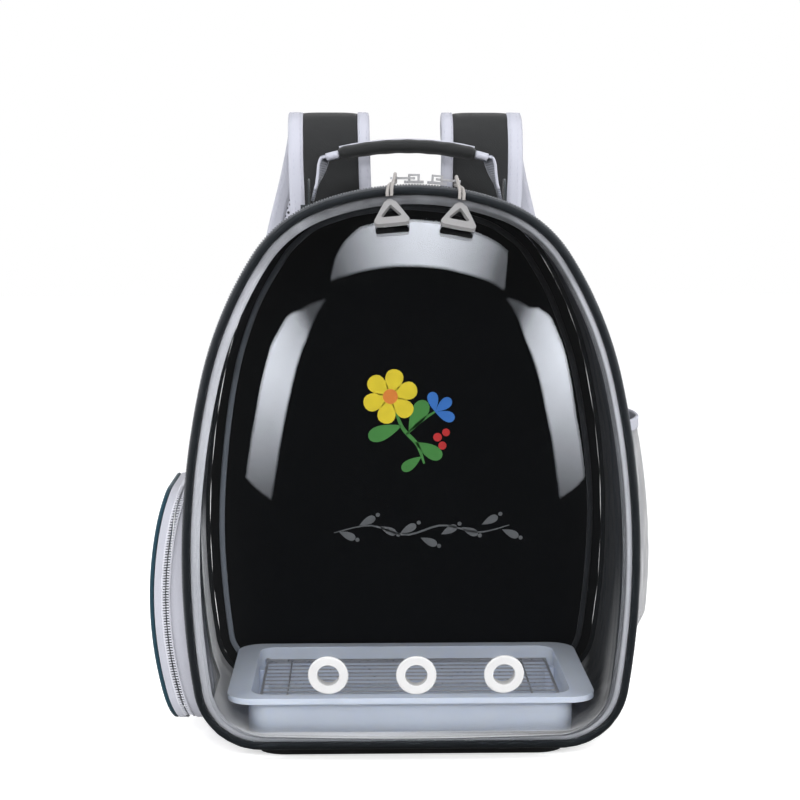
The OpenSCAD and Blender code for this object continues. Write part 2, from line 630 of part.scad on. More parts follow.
// Mesh pocket: a thin net bag standing off the right wall, open at the top, with an elastic hem.
pocket_z0 = 63;
pocket_y0 = wall_front + 34;
pocket_t = 1.6;
pocket_cols = 14;
pocket_rows = 10;
function wall_x(z, out) = let (i = z > arc_c(3)[1] + (arc_r[3]) * cos(turn[3]) ? 2 : 3, c = arc_c(i),
    r = arc_r[i] + out) c[0] + sqrt(r * r - pow(z - c[1], 2));
function bulge(u, v) = pow(sin(180 * u), 0.55) * pow(min(1, v / 0.16), 0.5) * (1 - 0.22 * max(0,
    v - 0.45) / 0.55);
// A point of the bag; its inside is the same form drawn in a little towards the mouth's middle.
function net_pt(u, v, in) = let (w = 0.5 + (u - 0.5) * (1 - 2 * in / pocket_w), z = pocket_z0 + in
    + (pocket_h - in) * v)
    [wall_x(z, wall_out) + seam + max(0.02, (pocket_out - in) * bulge(u, v)), y0 + pocket_y0 + pocket_w
        * w, z];
module mesh_pocket() color([0.72, 0.74, 0.8]) {
    net = [for (in = [0, pocket_t], v = [0:pocket_rows], u = [0:pocket_cols])
        net_pt(u / pocket_cols, pow(v / pocket_rows, 1.4), in)];
    c = pocket_cols + 1;
    n = c * (pocket_rows + 1);
    top = pocket_rows * c;
    polyhedron(net, concat(
        [for (v = [0:pocket_rows - 1], u = [0:pocket_cols - 1]) let (a = v * c + u)
            each concat(quad(a, a + c, a + c + 1, a + 1), quad(n + a, n + a + 1, n + a + c + 1, n + a
                + c))],
        [for (u = [0:pocket_cols - 1]) each concat(quad(u, u + 1, n + u + 1, n + u),
            quad(top + u, n + top + u, n + top + u + 1, top + u + 1))],
        [for (v = [0:pocket_rows - 1]) let (a = v * c, e = a + pocket_cols)
            each concat(quad(a, n + a, n + a + c, a + c), quad(e, e + c, n + e + c, n + e))]));
}
hem_h = 9;
module pocket_hem() color([0.6, 0.62, 0.68])
    carry([for (u = [0:16]) net_pt(0.02 + 0.96 * u / 16, 1, 0.8) + [0, 0, hem_h / 2 + seam]],
        [[-hem_h / 2, 0.8], [hem_h / 2, 0.8], [hem_h / 2, -0.8], [-hem_h / 2, -0.8]], [0, 0, 1]);

// Handle: a webbing arch on rounded feet, a padded grip and two end patches.
handle_back = 148;
foot_r = handle_w / 2;
foot_z = arc_c(1)[1] + sqrt(pow(arc_r[1] + wall_out, 2) - pow(handle_span / 2 - arc_c(1)[0], 2))
    + foot_r + 2.4;
leg_lean = 9;
arch_half = handle_span / 2 - leg_lean;
arch_z = foot_z + 26;
arch_rise = handle_top - grip_t / 2 - arch_z;
arch_r = (arch_half * arch_half + arch_rise * arch_rise) / (2 * arch_rise);
arch_deg = asin(arch_half / arch_r);
arch_mid = handle_top - grip_t / 2 - arch_r;
module handle_plane(w) translate([0, y0 + handle_back + w / 2, 0]) rotate([90, 0, 0]) linear_extrude(w)
    children();
module arch_band(t, deg) translate([0, arch_mid]) intersection() {
    difference() {
        circle(arch_r + t / 2, $fn = 128);
        circle(arch_r - t / 2, $fn = 128);
    }
    polygon([[0, 0], 1.3 * arch_r * dir(deg), 1.3 * arch_r * dir(deg / 2), 1.3 * arch_r * dir(-deg / 2),
        1.3 * arch_r * dir(-deg)]);
}
grip_deg = asin(grip_l / 2 / arch_r);
patch_deg = asin((grip_l / 2 + 11) / arch_r);
module handle_webbing() color([0.2, 0.22, 0.26]) {
    handle_plane(handle_w) for (s = [-1, 1]) {
        intersection() {
            arch_band(handle_t, arch_deg);
            polygon([[0, 0], [0, 1], [s * 2 * handle_span, 1], [s * 2 * handle_span, 2 * handle_top],
                flip([0, arch_mid] + 1.3 * arch_r * dir(patch_deg + 0.1), s), [0, arch_mid]]);
        }
        polygon([[s * (arch_half - handle_t / 2), arch_z], [s * (arch_half + handle_t / 2), arch_z + 1],
            [s * (handle_span / 2 + handle_t / 2), foot_z], [s * (handle_span / 2 - handle_t / 2),
                foot_z]]);
        translate([s * arch_half, arch_z]) circle(handle_t / 2);
    }
    for (s = [-1, 1]) translate([s * handle_span / 2 - handle_t / 2, y0 + handle_back, foot_z])
        rotate([0, 90, 0])
        cylinder(r = foot_r, h = handle_t);
}
module handle_grip() color([0.16, 0.18, 0.19]) translate([0, y0 + handle_back, arch_mid])
    rotate([90, 0, 0]) rotate([0, 0, 90 - grip_deg]) rotate_extrude(angle = 2 * grip_deg)
        translate([arch_r, 0]) {
        square([grip_t, handle_w + 6 - grip_t], center = true);
        for (y = [-1, 1]) translate([0, y * (handle_w + 6 - grip_t) / 2]) circle(grip_t / 2);
    }
module handle_patches() color([0.72, 0.73, 0.77]) for (s = [-1, 1])
    translate([0, y0 + handle_back, arch_mid]) rotate([90, 0, 0])
        rotate([0, 0, s > 0 ? 90 - patch_deg : 90 + grip_deg + 0.05])
            rotate_extrude(angle = patch_deg - grip_deg - 0.05) translate([arch_r, 0])
                square([handle_t + 4, handle_w + 3], center = true);
anchor_t = 1.5;
anchor_block = 18;                  // width of the folded cloth block under each foot
anchor_drop = 20;
anchor_x = handle_span / 2 + handle_t / 2 + gap;
module handle_anchors() color([0.2, 0.22, 0.26]) for (s = [-1, 1]) difference() {
    union() {
        handle_plane(2 * foot_r) translate([s * handle_span / 2 - anchor_block / 2,
            foot_z - foot_r - anchor_drop])
            square([anchor_block, anchor_drop - 2 * gap]);
        translate([s > 0 ? anchor_x : -anchor_x - anchor_t, y0 + handle_back, foot_z]) {
            rotate([0, 90, 0]) cylinder(r = foot_r, h = anchor_t);
            translate([0, -foot_r, -foot_r - anchor_drop]) cube([anchor_t, 2 * foot_r, foot_r
                + anchor_drop]);
        }
    }
    slab(wall_out + seam, handle_back - 2 * foot_r, handle_back + 2 * foot_r);
}

// Back pads: foam under mesh, crowned, with one cross channel each.
pad_w = 92;
pad_h = 236;
pad_z0 = 96;
pad_cols = 10;
pad_rows = 22;
function pad_crown(u, v) = let (e = min(1, 7 * min(u, 1 - u)), f = min(1, 14 * min(v, 1 - v)),
    ch = abs(v - 0.5) < 0.035 ? 0.45 : 1)
    back_pad_t * (0.3 + 0.7 * ch * sqrt(e * (2 - e)) * sqrt(f * (2 - f)) * (0.82 + 0.18 * sin(180 * u)));
module back_pad(side) color([0.12, 0.14, 0.16]) {
    c = pad_cols + 1;
    n = c * (pad_rows + 1);
    place = [side * (pad_w / 2 + 9) - pad_w / 2, y0 + body_depth + seam, pad_z0];
    top = [for (v = [0:pad_rows], u = [0:pad_cols]) place
        + [pad_w * u / pad_cols, pad_crown(u / pad_cols, v / pad_rows), pad_h * v / pad_rows]];
    base = [for (v = [0:pad_rows], u = [0:pad_cols]) place + [pad_w * u / pad_cols, 0, pad_h
        * v / pad_rows]];
    polyhedron(concat(top, base), concat(
        [for (v = [0:pad_rows - 1], u = [0:pad_cols - 1]) let (a = v * c + u) each quad(a, a + 1, a + c
            + 1, a + c)],
        [for (v = [0:pad_rows - 1], u = [0:pad_cols - 1]) let (a = n + v * c + u) each quad(a, a + c, a
            + c + 1, a + 1)],
        [for (u = [0:pad_cols - 1]) each quad(u, n + u, n + u + 1, u + 1)],
        [for (u = [0:pad_cols - 1]) let (a = pad_rows * c + u) each quad(a, a + 1, n + a + 1, n + a)],
        [for (v = [0:pad_rows - 1]) each quad(v * c, v * c + c, n + v * c + c, n + v * c)],
        [for (v = [0:pad_rows - 1]) let (a = v * c + pad_cols) each quad(a, n + a, n + a + c, a + c)]));
}
module back_pad_left() back_pad(-1);
module back_pad_right() back_pad(1);

// Shoulder straps: up from the panel's top, over, out and down to the buckles.
strap_back = body_depth + 3;
strap_top = 486;
function strap_route(side) = [for (p = [[0, 0, 388], [0, 1, 430], [0, 12, 466], [0, 36,
    strap_top - strap_t / 2],
    [2, 62, 466], [10, 78, 430], [22, 88, 375], [38, 92, 300], [50, 84, 230], [57, 66, 170], [60, 44, 122]])
    [side * (strap_gap / 2 + p[0]), y0 + strap_back + strap_t / 2 + p[1], p[2]]];
function pad_section(w, t) = [[-w / 2, t * 0.32], [-w * 0.36, t * 0.46], [0, t / 2], [w * 0.36, t
    * 0.46], [w / 2, t * 0.32],
    [w / 2, -t * 0.32], [w * 0.36, -t * 0.46], [0, -t / 2], [-w * 0.36, -t * 0.46], [-w / 2, -t * 0.32]];
strap_steps = 36;
core_w = strap_w - 2 * binding_w - 2 * seam;
module strap(side) color([0.2, 0.22, 0.22])
    carry(route(strap_route(side), strap_steps), pad_section(core_w, strap_t), [1, 0, 0]);
module strap_left() strap(-1);
module strap_right() strap(1);
module bindings(side) color([0.74, 0.75, 0.8]) for (e = [-1, 1]) {
    at = e * (strap_w - binding_w) / 2;
    carry(route(strap_route(side), strap_steps), [[at - binding_w / 2, strap_t * 0.3], [at
        + binding_w / 2, strap_t * 0.25],
        [at + binding_w / 2, -strap_t * 0.25], [at - binding_w / 2, -strap_t * 0.3]], [1, 0, 0]);
}
module bindings_left() bindings(-1);
module bindings_right() bindings(1);

// Top yoke: the cloth patch that both straps are sewn under.
yoke_h = 14;
module strap_yoke() color([0.16, 0.18, 0.19])
    translate([-strap_gap / 2 - strap_w / 2 - 5, y0 + body_depth + seam, 388 - yoke_h - seam])
        cube([strap_gap + strap_w + 10, strap_t + 3, yoke_h]);

// Ladder lock at each strap's end, webbing down to a corner tab.
lock_h = 34;
lock_t = 5;
bar = 4;
lock_slot = 7;
strap_line = route(strap_route(1), strap_steps);
strap_end = strap_line[strap_steps];
strap_run = strap_end - strap_line[strap_steps - 1];
lock_tilt = atan2(strap_run[1], -strap_run[2]);
lock_yaw = atan(strap_run[0] / norm(strap_run));
module at_lock(side) translate([side * strap_end[0], strap_end[1], strap_end[2]])
    rotate([lock_tilt, -side * lock_yaw, 0]) children();
module ladder_lock(side) color([0.08, 0.08, 0.09]) at_lock(side)
    translate([0, lock_t / 2, -2 * seam - lock_h]) rotate([90, 0, 0]) linear_extrude(lock_t) difference() {
        translate([-webbing_w / 2 - bar, 0]) round_rect(webbing_w + 2 * bar, lock_h, bar);
        for (y = [bar, lock_h / 2 - 1, lock_h - bar - lock_slot]) translate([-webbing_w / 2 - 0.5, y])
            square([webbing_w + 1, lock_slot - 0.5]);
    }
module ladder_lock_left() ladder_lock(-1);
module ladder_lock_right() ladder_lock(1);

tab_top = 45.5;
tab_low = 20;
tab_out_y = 9.5;
tab_half = 16;
webbing_t = 1.6;
web_x = strap_end[0] + 3;
web_y = y0 + body_depth + tab_out_y / 2 + 1.5;
// The webbing lies on the lock's front face, then runs down into the corner tab.
function off_lock(y, z) = [strap_end[0] - z * sin(lock_yaw), strap_end[1] + y * cos(lock_tilt) - z
    * sin(lock_tilt),
    strap_end[2] + y * sin(lock_tilt) + z * cos(lock_tilt)];
lock_face = -lock_t / 2 - webbing_t / 2 - gap;
function web_route(side) = [for (p = [off_lock(lock_face, -lock_h / 3), off_lock(lock_face, -lock_h
    * 2 / 3),
    off_lock(lock_face - 0.3, -lock_h), off_lock(lock_face - 0.8, -lock_h * 4 / 3), [web_x, web_y + 2,
        tab_top + 16], [web_x, web_y, tab_top + seam]])
    [side * p[0], p[1], p[2]]];
module webbing(side) color([0.12, 0.13, 0.14])
    carry(route(web_route(side), 12), band_section(webbing_w, webbing_t), [1, 0, 0]);
module webbing_left() webbing(-1);
module webbing_right() webbing(1);
module corner_tab(side) color([0.16, 0.18, 0.19])
    translate([side * web_x - tab_half, y0 + body_depth + seam, 0]) rotate([90, 0, 90]) linear_extrude(2
        * tab_half)
        polygon([[0, tab_low], [3, tab_low], [tab_out_y, tab_top - 2], [tab_out_y, tab_top], [0, tab_top]]);
module corner_tab_left() corner_tab(-1);
module corner_tab_right() corner_tab(1);

dome_shell();
vent_left();
vent_middle();
vent_right();
front_piping();
door_zip_tape();
door_zip_chain();
slider_left();
slider_right();
tab_left();
tab_right();
cord_left();
cord_right();
pull_left();
pull_right();
side_wall();
wall_lining();
back_panel();
back_binding();
rear_piping();
rear_zip_tape();
rear_zip_chain();
hinge_strip();
base_plate();
floor_pad();
tray();
tray_grid();
hatch_frame_tape();
hatch_frame_chain();
hatch_hinge();
hatch_panel();
hatch_piping();
hatch_door_tape();
hatch_door_chain();
hatch_slider();
mesh_pocket();
pocket_hem();
handle_webbing();
handle_grip();
handle_patches();
handle_anchors();
back_pad_left();
back_pad_right();
strap_left();
strap_right();
bindings_left();
bindings_right();
strap_yoke();
ladder_lock_left();
ladder_lock_right();
webbing_left();
webbing_right();
corner_tab_left();
corner_tab_right();
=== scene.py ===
import bpy, random
from math import asin, atan, atan2, copysign, cos, exp, hypot, pi, radians, sin, sqrt
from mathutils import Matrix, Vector


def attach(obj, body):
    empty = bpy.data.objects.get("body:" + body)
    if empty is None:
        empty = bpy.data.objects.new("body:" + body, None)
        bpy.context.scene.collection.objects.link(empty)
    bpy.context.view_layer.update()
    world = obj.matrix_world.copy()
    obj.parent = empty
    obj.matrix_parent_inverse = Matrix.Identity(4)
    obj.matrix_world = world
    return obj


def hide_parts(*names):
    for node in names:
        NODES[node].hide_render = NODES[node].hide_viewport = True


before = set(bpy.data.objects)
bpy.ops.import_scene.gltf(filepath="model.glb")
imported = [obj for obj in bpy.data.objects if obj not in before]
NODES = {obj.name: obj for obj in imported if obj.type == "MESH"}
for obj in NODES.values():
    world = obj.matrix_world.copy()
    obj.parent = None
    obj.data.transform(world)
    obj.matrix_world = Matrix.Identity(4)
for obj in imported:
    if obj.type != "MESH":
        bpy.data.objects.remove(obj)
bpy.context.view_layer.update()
rnd = random.Random(11)
DOOR, REAR = "front_door", "rear_shell"
X_AXIS, Y_AXIS, Z_AXIS = (Vector(a) for a in ((1, 0, 0), (0, 1, 0), (0, 0, 1)))
SIDES = (("left", -1), ("right", 1))

# ---- the camera
scene = bpy.context.scene
scene.view_settings.view_transform = "Standard"
FOCAL_PX, FRAME_PX = 1664.0, 800.0
cam_data = bpy.data.cameras.new("camera")
cam_data.sensor_width = 36.0
cam_data.lens = FOCAL_PX / FRAME_PX * cam_data.sensor_width
cam_data.clip_start, cam_data.clip_end = 0.05, 50.0
cam = bpy.data.objects.new("camera", cam_data)
cam.location = (-0.037, -1.28975, 0.414)
cam.rotation_euler = (radians(90 - 6.82), 0.0, radians(-1.343))
scene.collection.objects.link(cam)
scene.camera = cam

# ---- sizes in mm, the same as the CAD's
Y0 = -90.75                          # the front piping's plane
BODY_W, BODY_H, LIFT = 336.0, 415.0, 9.0
TOP_R, SHOULDER_R, CORNER_R = 195.0, 95.0, 50.0
PIPE_R = 2.7
TURN = [0, 20, 57, 77, 99, 180]      # where the outline's arcs meet, in degrees from the top
STEPS = [4, 5, 4, 5, 7]              # steps along each arc, times a fineness

def heading(a):
    return sin(radians(a)), cos(radians(a))

def solve_outline():
    """Radii and centres of the outline's five arcs; the two side radii make up its width and height."""
    s, c = zip(*[heading(t) for t in TURN])
    rx = BODY_W / 2 - TOP_R * s[1] - SHOULDER_R * (s[2] - s[1])
    rz = BODY_H - TOP_R * (1 - c[1]) - SHOULDER_R * (c[1] - c[2]) - CORNER_R * (1 + c[4])
    ux, uz, lx, lz = s[3] - s[2], c[2] - c[3], 1 - s[3], c[3] - c[4]
    det = ux * lz - lx * uz
    r = [TOP_R, SHOULDER_R, (rx * lz - lx * rz) / det, (ux * rz - uz * rx) / det, CORNER_R]
    centres = [(0.0, LIFT + BODY_H - TOP_R)]
    for i in range(1, 5):
        d = heading(TURN[i])
        centres.append((centres[-1][0] + (r[i - 1] - r[i]) * d[0], centres[-1][1] + (r[i - 1] - r[i]) * d[1]))
    return r, centres
ARC, CEN = solve_outline()
FLAT = CEN[4][0]                     # half the flat bottom

def half_rim(out, fine):
    """Points down the right half of the outline, moved outwards, up to the middle of the bottom."""
    pts = []
    for i in range(5):
        n = fine * STEPS[i]
        for k in range(n):
            d = heading(TURN[i] + (TURN[i + 1] - TURN[i]) * k / n)
            pts.append((CEN[i][0] + (ARC[i] + out) * d[0], CEN[i][1] + (ARC[i] + out) * d[1]))
    n = 5 * fine
    return pts + [(FLAT * (1 - k / n), LIFT - out) for k in range(n)]

def full_rim(out, fine=3):
    h = half_rim(out, fine)
    return h + [(0.0, LIFT - out)] + [(-x, z) for x, z in h[:0:-1]]

def P(x, s, z):
    """A point s behind the front piping's plane."""
    return Vector((x, Y0 + s, z))

# ---- mesh helpers; a form is (verts, faces, uvs) in mm
def paint(ob, mat):
    ob.data.materials.clear()
    ob.data.materials.append(mat.m)

def add_mesh(name, form, body, mat, smooth=True, hides=()):
    verts, faces, uvs = form
    me = bpy.data.meshes.new(name)
    me.from_pydata([tuple(c * 0.001 for c in v) for v in verts], [], faces)
    if uvs:
        layer = me.uv_layers.new(name="UVMap")
        for poly, uv in zip(me.polygons, uvs):
            for li, t in zip(poly.loop_indices, uv):
                layer.data[li].uv = t
    me.update()
    ob = bpy.data.objects.new(name, me)
    scene.collection.objects.link(ob)
    if smooth:
        me.shade_smooth()
    paint(ob, mat)
    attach(ob, body)
    if hides:
        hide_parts(*hides)
    return ob

def distances(pts):
    out = [0.0]
    for a, b in zip(pts, pts[1:]):
        out.append(out[-1] + (b - a).length)
    return out

def grid(rows, wrap=False, close=False, flip=False, skip=None):
    """Quads over rows of points: wrap joins the ends of each row, close joins the last row to the first."""
    r, c = len(rows), len(rows[0])
    verts = [v for row in rows for v in row]
    mid, col = list(rows[r // 2]), [row[c // 2] for row in rows]
    us = distances(mid + (mid[:1] if wrap else []))
    vs = distances(col + (col[:1] if close else []))
    faces, uvs = [], []
    for i in range(r if close else r - 1):
        for j in range(c if wrap else c - 1):
            i2, j2 = (i + 1) % r, (j + 1) % c
            q = [i * c + j, i * c + j2, i2 * c + j2, i2 * c + j]
            if skip and skip([verts[k] for k in q]):
                continue
            t = [(us[j], vs[i]), (us[j + 1], vs[i]), (us[j + 1], vs[i + 1]), (us[j], vs[i + 1])]
            faces.append(q[::-1] if flip else q)
            uvs.append(t[::-1] if flip else t)
    return verts, faces, uvs

def merge(*forms):
    verts, faces, uvs = [], [], []
    for v, f, u in forms:
        n = len(verts)
        verts += v
        faces += [[n + i for i in q] for q in f]
        uvs += u
    return verts, faces, uvs

def tube(base, rings, n=6):
    """Quads between rings of n points, from the point numbered base."""
    quads = []
    for k in range(rings - 1):
        a = base + k * n
        quads += [[a + q, a + (q + 1) % n, a + n + (q + 1) % n, a + n + q] for q in range(n)]
    return quads

def frames(path, across, closed=False):
    """The directions across, out and along at each point of a path."""
    n, out = len(path), []
    for k in range(n):
        a = path[(k + 1) % n] if closed else path[min(k + 1, n - 1)]
        b = path[k - 1] if closed or k else path[0]
        t = (a - b).normalized()
        w = across[k] if isinstance(across, list) else across
        w = (w - w.dot(t) * t).normalized()
        out.append((w, t.cross(w), t))
    return out

def sweep(path, section, across, closed=False, swell=None):
    """A section of (across, out) points carried along a path; swell(t) scales it, for t from 0 to 1."""
    rows = []
    for k, (w, o, t) in enumerate(frames(path, across, closed)):
        g = swell(k / (len(path) - 1)) if swell else (1, 1)
        rows.append([path[k] + w * (a * g[0]) + o * (b * g[1]) for a, b in section])
    verts, faces, uvs = grid(rows, wrap=True, close=closed, flip=True)
    if not closed:
        m, last = len(section), (len(path) - 1) * len(section)
        faces += [list(range(m)), list(range(last, last + m))[::-1]]
        uvs += [list(section), list(section)[::-1]]
    return verts, faces, uvs

def mirrored(top):
    """A closed section from its upper half."""
    return top + [(x, -y) for x, y in reversed(top)]

def circle(r, n, squash=1.0):
    return [(r * cos(2 * pi * k / n), r * squash * sin(2 * pi * k / n)) for k in range(n)]

def lens(w, t, edge, n=8):
    """A webbing's section: flat in the middle, thinner by edge and rounded at both sides."""
    xs = [-1 + 2 * k / n for k in range(n + 1)]
    return mirrored([(x * w / 2, t / 2 * (edge + (1 - edge) * (1 - abs(x) ** 5) ** 0.5)) for x in xs])

def spline(pts, n):
    """n steps of a smooth curve through the points."""
    out, m = [], len(pts) - 1
    for k in range(n + 1):
        u = k / n * m
        i = min(int(u), m - 1)
        t = u - i
        a, b, c, d = pts[max(i - 1, 0)], pts[i], pts[i + 1], pts[min(i + 2, m)]
        bend = (2 * a - 5 * b + 4 * c - d) * t * t + (3 * b - 3 * c + d - a) * t ** 3
        out.append(0.5 * (2 * b + (c - a) * t + bend))
    return out

def rim_rows(profile, fine=3, wave=None):
    """Rows round the outline for a profile of (out, s) points; wave(turn), turn from 0 to 1, moves them."""
    base, next_out = full_rim(0.0, fine), full_rim(1.0, fine)
    rows = []
    for i, ((x, z), (x1, z1)) in enumerate(zip(base, next_out)):
        dx, ds = wave(i / len(base)) if wave else (0.0, 0.0)
        rows.append([P(x + (x1 - x) * (o + dx), s + ds, z + (z1 - z) * (o + dx)) for o, s in profile])
    return rows

STITCH_WANDER = 0.12
def stitch_run(path, normals, length, gap, r):
    """Short raised thread stitches along a path."""
    at = distances(path)
    def find(d):
        k = next((q for q in range(len(at) - 1) if at[q + 1] >= d), len(at) - 2)
        f = (d - at[k]) / max(1e-6, at[k + 1] - at[k])
        return path[k].lerp(path[k + 1], f), normals[k].lerp(normals[k + 1], f).normalized()
    verts, faces, pos = [], [], gap
    while pos + length < at[-1]:
        a, na = find(pos)
        b, nb = find(pos + length)
        side = (b - a).normalized().cross(na).normalized()
        b = b + side * rnd.uniform(-STITCH_WANDER, STITCH_WANDER)
        faces += tube(len(verts), 4)
        for p, n, g in ((a, na, 0.35), (a.lerp(b, 0.25), na, 1), (a.lerp(b, 0.75), nb, 1), (b, nb, 0.35)):
            verts += [p + (side * x + n * y) * g for x, y in circle(r, 6)]
        pos += length + gap
    return verts, faces, [[(0, 0)] * 4 for q in faces]

# ---- shader helpers
class Nodes:
    """Adds nodes to a shader tree. An input takes a socket or a plain value."""
    def __init__(self, tree):
        self.t = tree

    def first(self, kind):
        return next(n for n in self.t.nodes if n.type == kind)

    def put(self, socket, value):
        if isinstance(value, bpy.types.NodeSocket):
            self.t.links.new(value, socket)
        else:
            socket.default_value = value

    def node(self, kind, out=0, **inputs):
        """An output of a new node: p_NAME sets a property, iN the input number N, NAME the input NAME."""
        n = self.t.nodes.new("ShaderNode" + kind)
        for k, v in inputs.items():
            if k.startswith("p_"):
                setattr(n, k[2:], v)
        for k, v in inputs.items():
            if not k.startswith("p_"):
                self.put(n.inputs[int(k[1:]) if k[1:].isdigit() else k.replace("_", " ")], v)
        return n.outputs[out]

    def f(self, op, a, b=0.0):
        return self.node("Math", p_operation=op, i0=a, i1=b)

    def wave(self, v, period):
        return self.f("SINE", self.f("MULTIPLY", v, 2 * pi / period))

    def ramp(self, v, lo, hi, to_lo=0.0, to_hi=1.0):
        return self.node("MapRange", Value=v, From_Min=lo, From_Max=hi, To_Min=to_lo, To_Max=to_hi)

    def mix(self, fac, a, b, blend="MIX"):
        return self.node("Mix", 2, p_data_type="RGBA", p_blend_type=blend, i0=fac, i6=a, i7=b)

    def switch(self, fac, a, b):
        return self.node("Mix", p_data_type="FLOAT", i0=fac, i2=a, i3=b)

    def xyz(self, v):
        n = self.t.nodes.new("ShaderNodeSeparateXYZ")
        self.put(n.inputs[0], v)
        return n.outputs

    def noise(self, v, scale, detail=3.0):
        return self.node("TexNoise", Vector=v, Scale=scale, Detail=detail, Roughness=0.5)

def new_material(name):
    m = bpy.data.materials.new(name)
    m.use_nodes = True
    return m

class Mat(Nodes):
    """A Principled material over coordinates in mm, whose relief adds up in h until done()."""
    def __init__(self, name, slot, rgb, rough=0.6, metallic=0.0, **more):
        self.m = new_material(name)
        super().__init__(self.m.node_tree)
        self.b = self.first("BSDF_PRINCIPLED")
        self.slot, self.rgb, self.h = slot, rgb, None
        start = {"Base_Color": (*rgb, 1), "Roughness": rough, "Metallic": metallic, "IOR": 1.5, **more}
        for k, v in start.items():
            self.put(self.b.inputs[k.replace("_", " ")], v)

    def coords(self, uv=False):
        if uv:
            return self.node("TexCoord", "UV")
        return self.node("VectorMath", p_operation="SCALE", i0=self.node("TexCoord", "Object"), Scale=1000.0)

    def relief(self, height, mm):
        height = self.f("MULTIPLY", height, mm)
        self.h = height if self.h is None else self.f("ADD", self.h, height)

    def colour(self, value):
        self.put(self.b.inputs["Base Color"], value)

    def tone(self, fac, dark, light):
        """Scales the colour between dark and light times itself."""
        lo, hi = (tuple(min(1, v * k) for v in self.rgb) + (1,) for k in (dark, light))
        mixed = self.mix(fac, lo, hi)
        self.colour(mixed)
        return mixed

    def done(self):
        if self.h is not None:
            self.put(self.b.inputs["Normal"], self.node("Bump", Height=self.h, Distance=0.001, Strength=1.0))
        return self

# ---- materials
def cloth(name, slot, rgb, pitch, uv=False, twill=False, rough=0.85, depth=0.12, sheen=0.25, crease=0.25,
          vary=0.14, **more):
    """Woven cloth: a weave of that pitch, a fine grain and broad creases."""
    m = Mat(name, slot, rgb, rough, Sheen_Weight=sheen, Sheen_Roughness=0.4, **more)
    v = m.coords(uv)
    a, b, z = m.xyz(v)
    if not uv:
        a, b = m.f("ADD", a, m.f("MULTIPLY", b, 0.6)), m.f("ADD", z, m.f("MULTIPLY", b, 0.8))
    if twill:
        a, b = m.f("ADD", a, b), m.f("SUBTRACT", a, b)
    weave = m.f("MULTIPLY", m.wave(a, pitch), m.wave(b, pitch / 0.35 if twill else pitch))
    broad = m.noise(v, 0.018, 2.0)
    fine = m.noise(v, 1.6, 2.0)
    m.relief(weave, depth * 0.5)
    m.relief(fine, depth)
    m.relief(broad, crease * 4)
    both = m.f("ADD", m.f("MULTIPLY", fine, 0.45), m.f("MULTIPLY", broad, 0.55))
    m.tone(m.f("ADD", m.f("MULTIPLY", weave, 0.16), both), 1 - 1.6 * vary, 1 + 1.6 * vary)
    return m.done()

def plastic(name, slot, rgb, rough=0.35, grain=0.02):
    m = Mat(name, slot, rgb, rough)
    v = m.coords()
    patches = m.noise(v, 0.06)
    m.relief(m.noise(v, 3.0, 2.0), grain)
    m.tone(patches, 0.93, 1.06)
    m.put(m.b.inputs["Roughness"], m.ramp(patches, 0.3, 0.7, rough * 0.85, rough * 1.2))
    return m.done()

def metal(name, slot, rgb, rough, metallic):
    m = Mat(name, slot, rgb, rough, metallic)
    v = m.coords()
    wear = m.noise(v, 0.5, 4.0)
    m.relief(m.noise(v, 6.0, 2.0), 0.012)
    m.tone(wear, 0.75, 1.15)
    m.put(m.b.inputs["Roughness"], m.ramp(wear, 0.3, 0.7, rough * 0.7, rough * 1.5))
    return m.done()

SHEET_IOR = 1.46
def clear_sheet(name, slot):
    """A clear sheet: light goes straight through, and each face mirrors what Fresnel gives."""
    m = Mat(name, slot, (0.95, 0.96, 0.97), 0.03, 1.0)
    m.relief(m.noise(m.coords(), 0.012, 2.0), 0.35)
    m.done()
    back = m.node("NewGeometry", "Backfacing")
    fresnel = m.node("Fresnel", IOR=m.ramp(back, 0.0, 1.0, SHEET_IOR, 1 / SHEET_IOR))
    clear = m.node("BsdfTransparent", Color=(0.965, 0.97, 0.975, 1))
    sheet = m.node("MixShader", i0=fresnel, i1=clear, i2=m.b.outputs[0])
    m.put(m.first("OUTPUT_MATERIAL").inputs["Surface"], sheet)
    return m

def shade(m, lo, hi, dark, edge):
    """Paints shade into a colour: darker with height, unevenly from lo to hi, and on the right over its first
    edge mm.
    """
    v = m.coords()
    x, y, z = m.xyz(v)
    ripple = m.f("MULTIPLY", m.f("SUBTRACT", m.noise(v, 0.03), 0.5), 90.0)
    high = m.ramp(m.f("ADD", z, ripple), lo, hi, 1.0, dark)
    inner = m.ramp(m.xyz(m.coords(True))[0], edge, edge + 1.6, 0.88, 0.0)
    right = m.ramp(x, -10.0, 90.0)
    fac = m.f("MULTIPLY", high, m.f("SUBTRACT", 1.0, m.f("MULTIPLY", inner, right)))
    plain = m.b.inputs["Base Color"].links[0].from_socket
    m.colour(m.mix(1.0, plain, fac, "MULTIPLY"))
    return m

